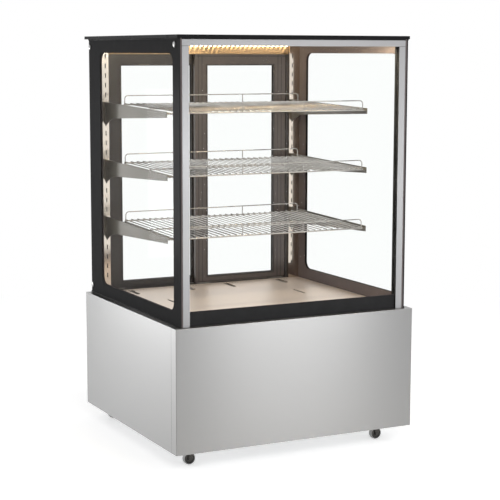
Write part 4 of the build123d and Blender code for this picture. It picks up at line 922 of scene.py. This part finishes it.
class CASE_OT_controls(bpy.types.Operator):
    """Mark the dial and the switches, and screw the back panel down"""

    bl_idname = "display_case.controls"
    bl_label = "Controls and screws"

    def execute(self, context):
        finish, size = settings(context)
        knob_low, knob_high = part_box("thermostat_knob")
        panel_low, panel_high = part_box("base_side_panel_right")
        face, proud = panel_high.y, size.tick / 2
        centre = Vector(((knob_low.x + knob_high.x) / 2, face, (knob_low.z + knob_high.z) / 2))
        reach = (knob_high.x - knob_low.x) / 2
        bm = bmesh.new()
        for step in range(DIAL_MARKS):
            angle = math.radians(DIAL_STEP * step)
            outward = Vector((-math.sin(angle), 0, math.cos(angle)))
            numbered = step % DIAL_NUMBERED == 0
            length = reach * (LONG_MARK if numbered else SHORT_MARK)
            place = centre + outward * (reach * MARK_START + length / 2)
            bmesh.ops.create_cone(
                bm, cap_ends=True, segments=6, radius1=size.tick, radius2=size.tick, depth=length,
                matrix=facing(outward, place),
            )
            if numbered:
                place = centre + outward * reach * NUMBER_AT + Vector((0, proud, 0))
                add_text(bm, str(step * DIAL_VALUE), size.digit_height, place, proud)
        for name in ("power_switch", "light_switch"):
            low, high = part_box(name)
            for words, lift in (("I", size.switch_mark), ("O", -size.switch_mark)):
                place = ((low.x + high.x) / 2, face + proud, (low.z + high.z) / 2 + lift)
                add_text(bm, words, size.digit_height, place, proud)
        ink = moulded("mark_ink", (0.03, 0.03, 0.03, 1), 0.5, relief=0.05)
        place_piece("panel_marks", bm, ink)
        bm = bmesh.new()
        low = (centre.x - size.tick, knob_high.y - size.tick * 2, centre.z + reach * LINE_START)
        high = (centre.x + size.tick, knob_high.y + size.tick / 4, centre.z + reach * LINE_END)
        add_bar(bm, low, high, proud)
        white = moulded("mark_white", (0.75, 0.75, 0.75, 1), 0.5, relief=0.05)
        place_piece("knob_line", bm, white, "knob")
        bm = bmesh.new()
        edge_x = panel_high.x - size.screw_inset
        foot, top = panel_low.z + size.screw_inset, panel_high.z - size.screw_inset
        for side in (-1, 1):
            places = [(edge_x, foot), (edge_x, (foot + top) / 2), (edge_x, top), (edge_x / 3, foot)]
            for screw_x, screw_z in places:
                add_screw(bm, (side * screw_x, face, screw_z), (0, 1, 0), size.screw_radius)
        metal = moulded("screw_metal", finish.zinc, 0.3, 400, 0.05, metallic=1.0)
        place_piece("panel_screws", bm, metal)
        return {"FINISHED"}


def add_lamp(name, place, target, extent, power):
    """A soft lamp of a width and height that points at a target."""
    data = bpy.data.lights.new(name, "AREA")
    data.shape = "RECTANGLE"
    data.size, data.size_y = extent
    data.energy = power
    lamp = add_object(name, data)
    lamp.visible_camera = False
    lamp.visible_transmission = False
    lamp.matrix_world = facing(Vector(place) - Vector(target), place)
    return lamp


class CASE_OT_stage(bpy.types.Operator):
    """Set the floor, the white surroundings, the lamps and the camera"""

    bl_idname = "display_case.stage"
    bl_label = "Stage"

    def execute(self, context):
        scene, studio = context.scene, context.scene.case_studio
        scene.view_settings.view_transform = "Standard"
        self.make_world(scene, studio)
        self.make_floor(studio)
        for name, place, target, extent, power in (
            ("key_lamp", (-1.2, -3.9, 3.2), CASE_MIDDLE, (2.4, 2.4), studio.key_power),
            ("fill_lamp", (3.2, -2.0, 2.2), CASE_MIDDLE, (2.4, 2.4), studio.fill_power),
            ("front_strip", (1.58, -3.45, 0.5), (-0.06, -0.36, 0.3), STRIP, studio.front_strip),
            ("rear_strip", (-2.1, 3.0, 0.5), (-0.38, -0.2, 0.3), STRIP, studio.rear_strip),
        ):
            add_lamp(name, place, target, extent, power)
        low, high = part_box("lamp_board")
        place, target = (0, high.y, low.z - 0.004), (0, high.y + 0.2, 0.4)
        strip = add_lamp("case_light", place, target, (0.62, 0.008), studio.strip_power)
        strip.data.color = scene.case_finishes.glow[:3]
        strip.visible_glossy = False
        self.make_camera(scene, studio)
        return {"FINISHED"}

    def make_camera(self, scene, studio):
        """The photograph's camera, with no shift."""
        data = bpy.data.cameras.new("camera")
        data.lens = studio.lens
        data.sensor_width = SENSOR
        camera = add_object("camera", data)
        yaw, pitch, roll = studio.yaw, studio.pitch, studio.roll
        level = math.cos(pitch)
        ahead = Vector((math.sin(yaw) * level, math.cos(yaw) * level, -math.sin(pitch)))
        right = Vector((math.cos(yaw), -math.sin(yaw), 0))
        up = right.cross(ahead)
        rolled_right = right * math.cos(roll) + up * math.sin(roll)
        rolled_up = up * math.cos(roll) - right * math.sin(roll)
        turn = Matrix((rolled_right, rolled_up, -ahead)).transposed().to_4x4()
        camera.matrix_world = Matrix.Translation(studio.place) @ turn
        scene.camera = camera

    def make_world(self, scene, studio):
        """Even light all round, white to the camera, to gloss and through glass."""
        world = bpy.data.worlds.new("studio")
        scene.world = world
        world.use_nodes = True
        tree = world.node_tree
        tree.nodes.clear()
        even = white_light(tree, "ShaderNodeBackground", studio.sky)
        white = white_light(tree, "ShaderNodeBackground", 1.0)
        light = mix_shaders(tree, seen_rays(tree), even, white)
        add_node(tree, "ShaderNodeOutputWorld", {"Surface": light})

    def make_floor(self, studio):
        """A pale floor that fades into the white surroundings away from the case."""
        inputs = {"Base Color": studio.floor, "Roughness": 0.6, "Specular IOR Level": 0.2}
        material, tree, shader, output = new_material("floor", inputs)
        place = add_node(tree, "ShaderNodeTexCoord").outputs["Object"]
        span = {"From Min": studio.floor_clear, "From Max": studio.floor_fade}
        span["Value"] = length_of(tree, place)
        fade = add_node(tree, "ShaderNodeMapRange", span, interpolation_type="SMOOTHSTEP")
        strength = math_node(tree, "MULTIPLY", seen_rays(tree), studio.floor_lift)
        layers = {0: shader.outputs["BSDF"], 1: white_light(tree, "ShaderNodeEmission", strength)}
        lifted = add_node(tree, "ShaderNodeAddShader", layers).outputs["Shader"]
        white = white_light(tree, "ShaderNodeEmission", 1.0)
        surface = mix_shaders(tree, fade.outputs["Result"], lifted, white)
        feed(tree, output, {"Surface": surface})
        bm = bmesh.new()
        bmesh.ops.create_circle(bm, cap_ends=True, segments=64, radius=20)
        mesh_object("floor", bm, material)


class CASE_PT_panel(bpy.types.Panel):
    """Buttons for each step of the case"""

    bl_label = "Heated display case"
    bl_idname = "CASE_PT_panel"
    bl_space_type = "VIEW_3D"
    bl_region_type = "UI"
    bl_category = "Display Case"

    def draw(self, context):
        for step in STEPS:
            self.layout.operator(step.bl_idname)
        for name in GROUPS:
            group, box = getattr(context.scene, name), self.layout.box()
            for setting in group.__annotations__:
                box.prop(group, setting)


STEPS = (
    CASE_OT_dress, CASE_OT_shelves, CASE_OT_casters, CASE_OT_caps, CASE_OT_seals, CASE_OT_lamp,
    CASE_OT_header, CASE_OT_deck, CASE_OT_doors, CASE_OT_controls, CASE_OT_stage,
)
GROUPS = {"case_finishes": CaseFinishes, "case_sizes": CaseSizes, "case_studio": CaseStudio}


def register():
    """Registers the settings, the steps and the panel."""
    for name, group in GROUPS.items():
        bpy.utils.register_class(group)
        setattr(bpy.types.Scene, name, PointerProperty(type=group))
    for step in (*STEPS, CASE_PT_panel):
        bpy.utils.register_class(step)


def unregister():
    """Takes them off again."""
    for step in reversed((*STEPS, CASE_PT_panel)):
        bpy.utils.unregister_class(step)
    for name, group in GROUPS.items():
        delattr(bpy.types.Scene, name)
        bpy.utils.unregister_class(group)


def main():
    """Runs every step."""
    register()
    bpy.ops.display_case.dress()
    bpy.ops.display_case.shelves()
    bpy.ops.display_case.casters()
    bpy.ops.display_case.caps()
    bpy.ops.display_case.seals()
    bpy.ops.display_case.lamp()
    bpy.ops.display_case.header()
    bpy.ops.display_case.deck()
    bpy.ops.display_case.doors()
    bpy.ops.display_case.controls()
    bpy.ops.display_case.stage()


if __name__ == "__main__":
    main()
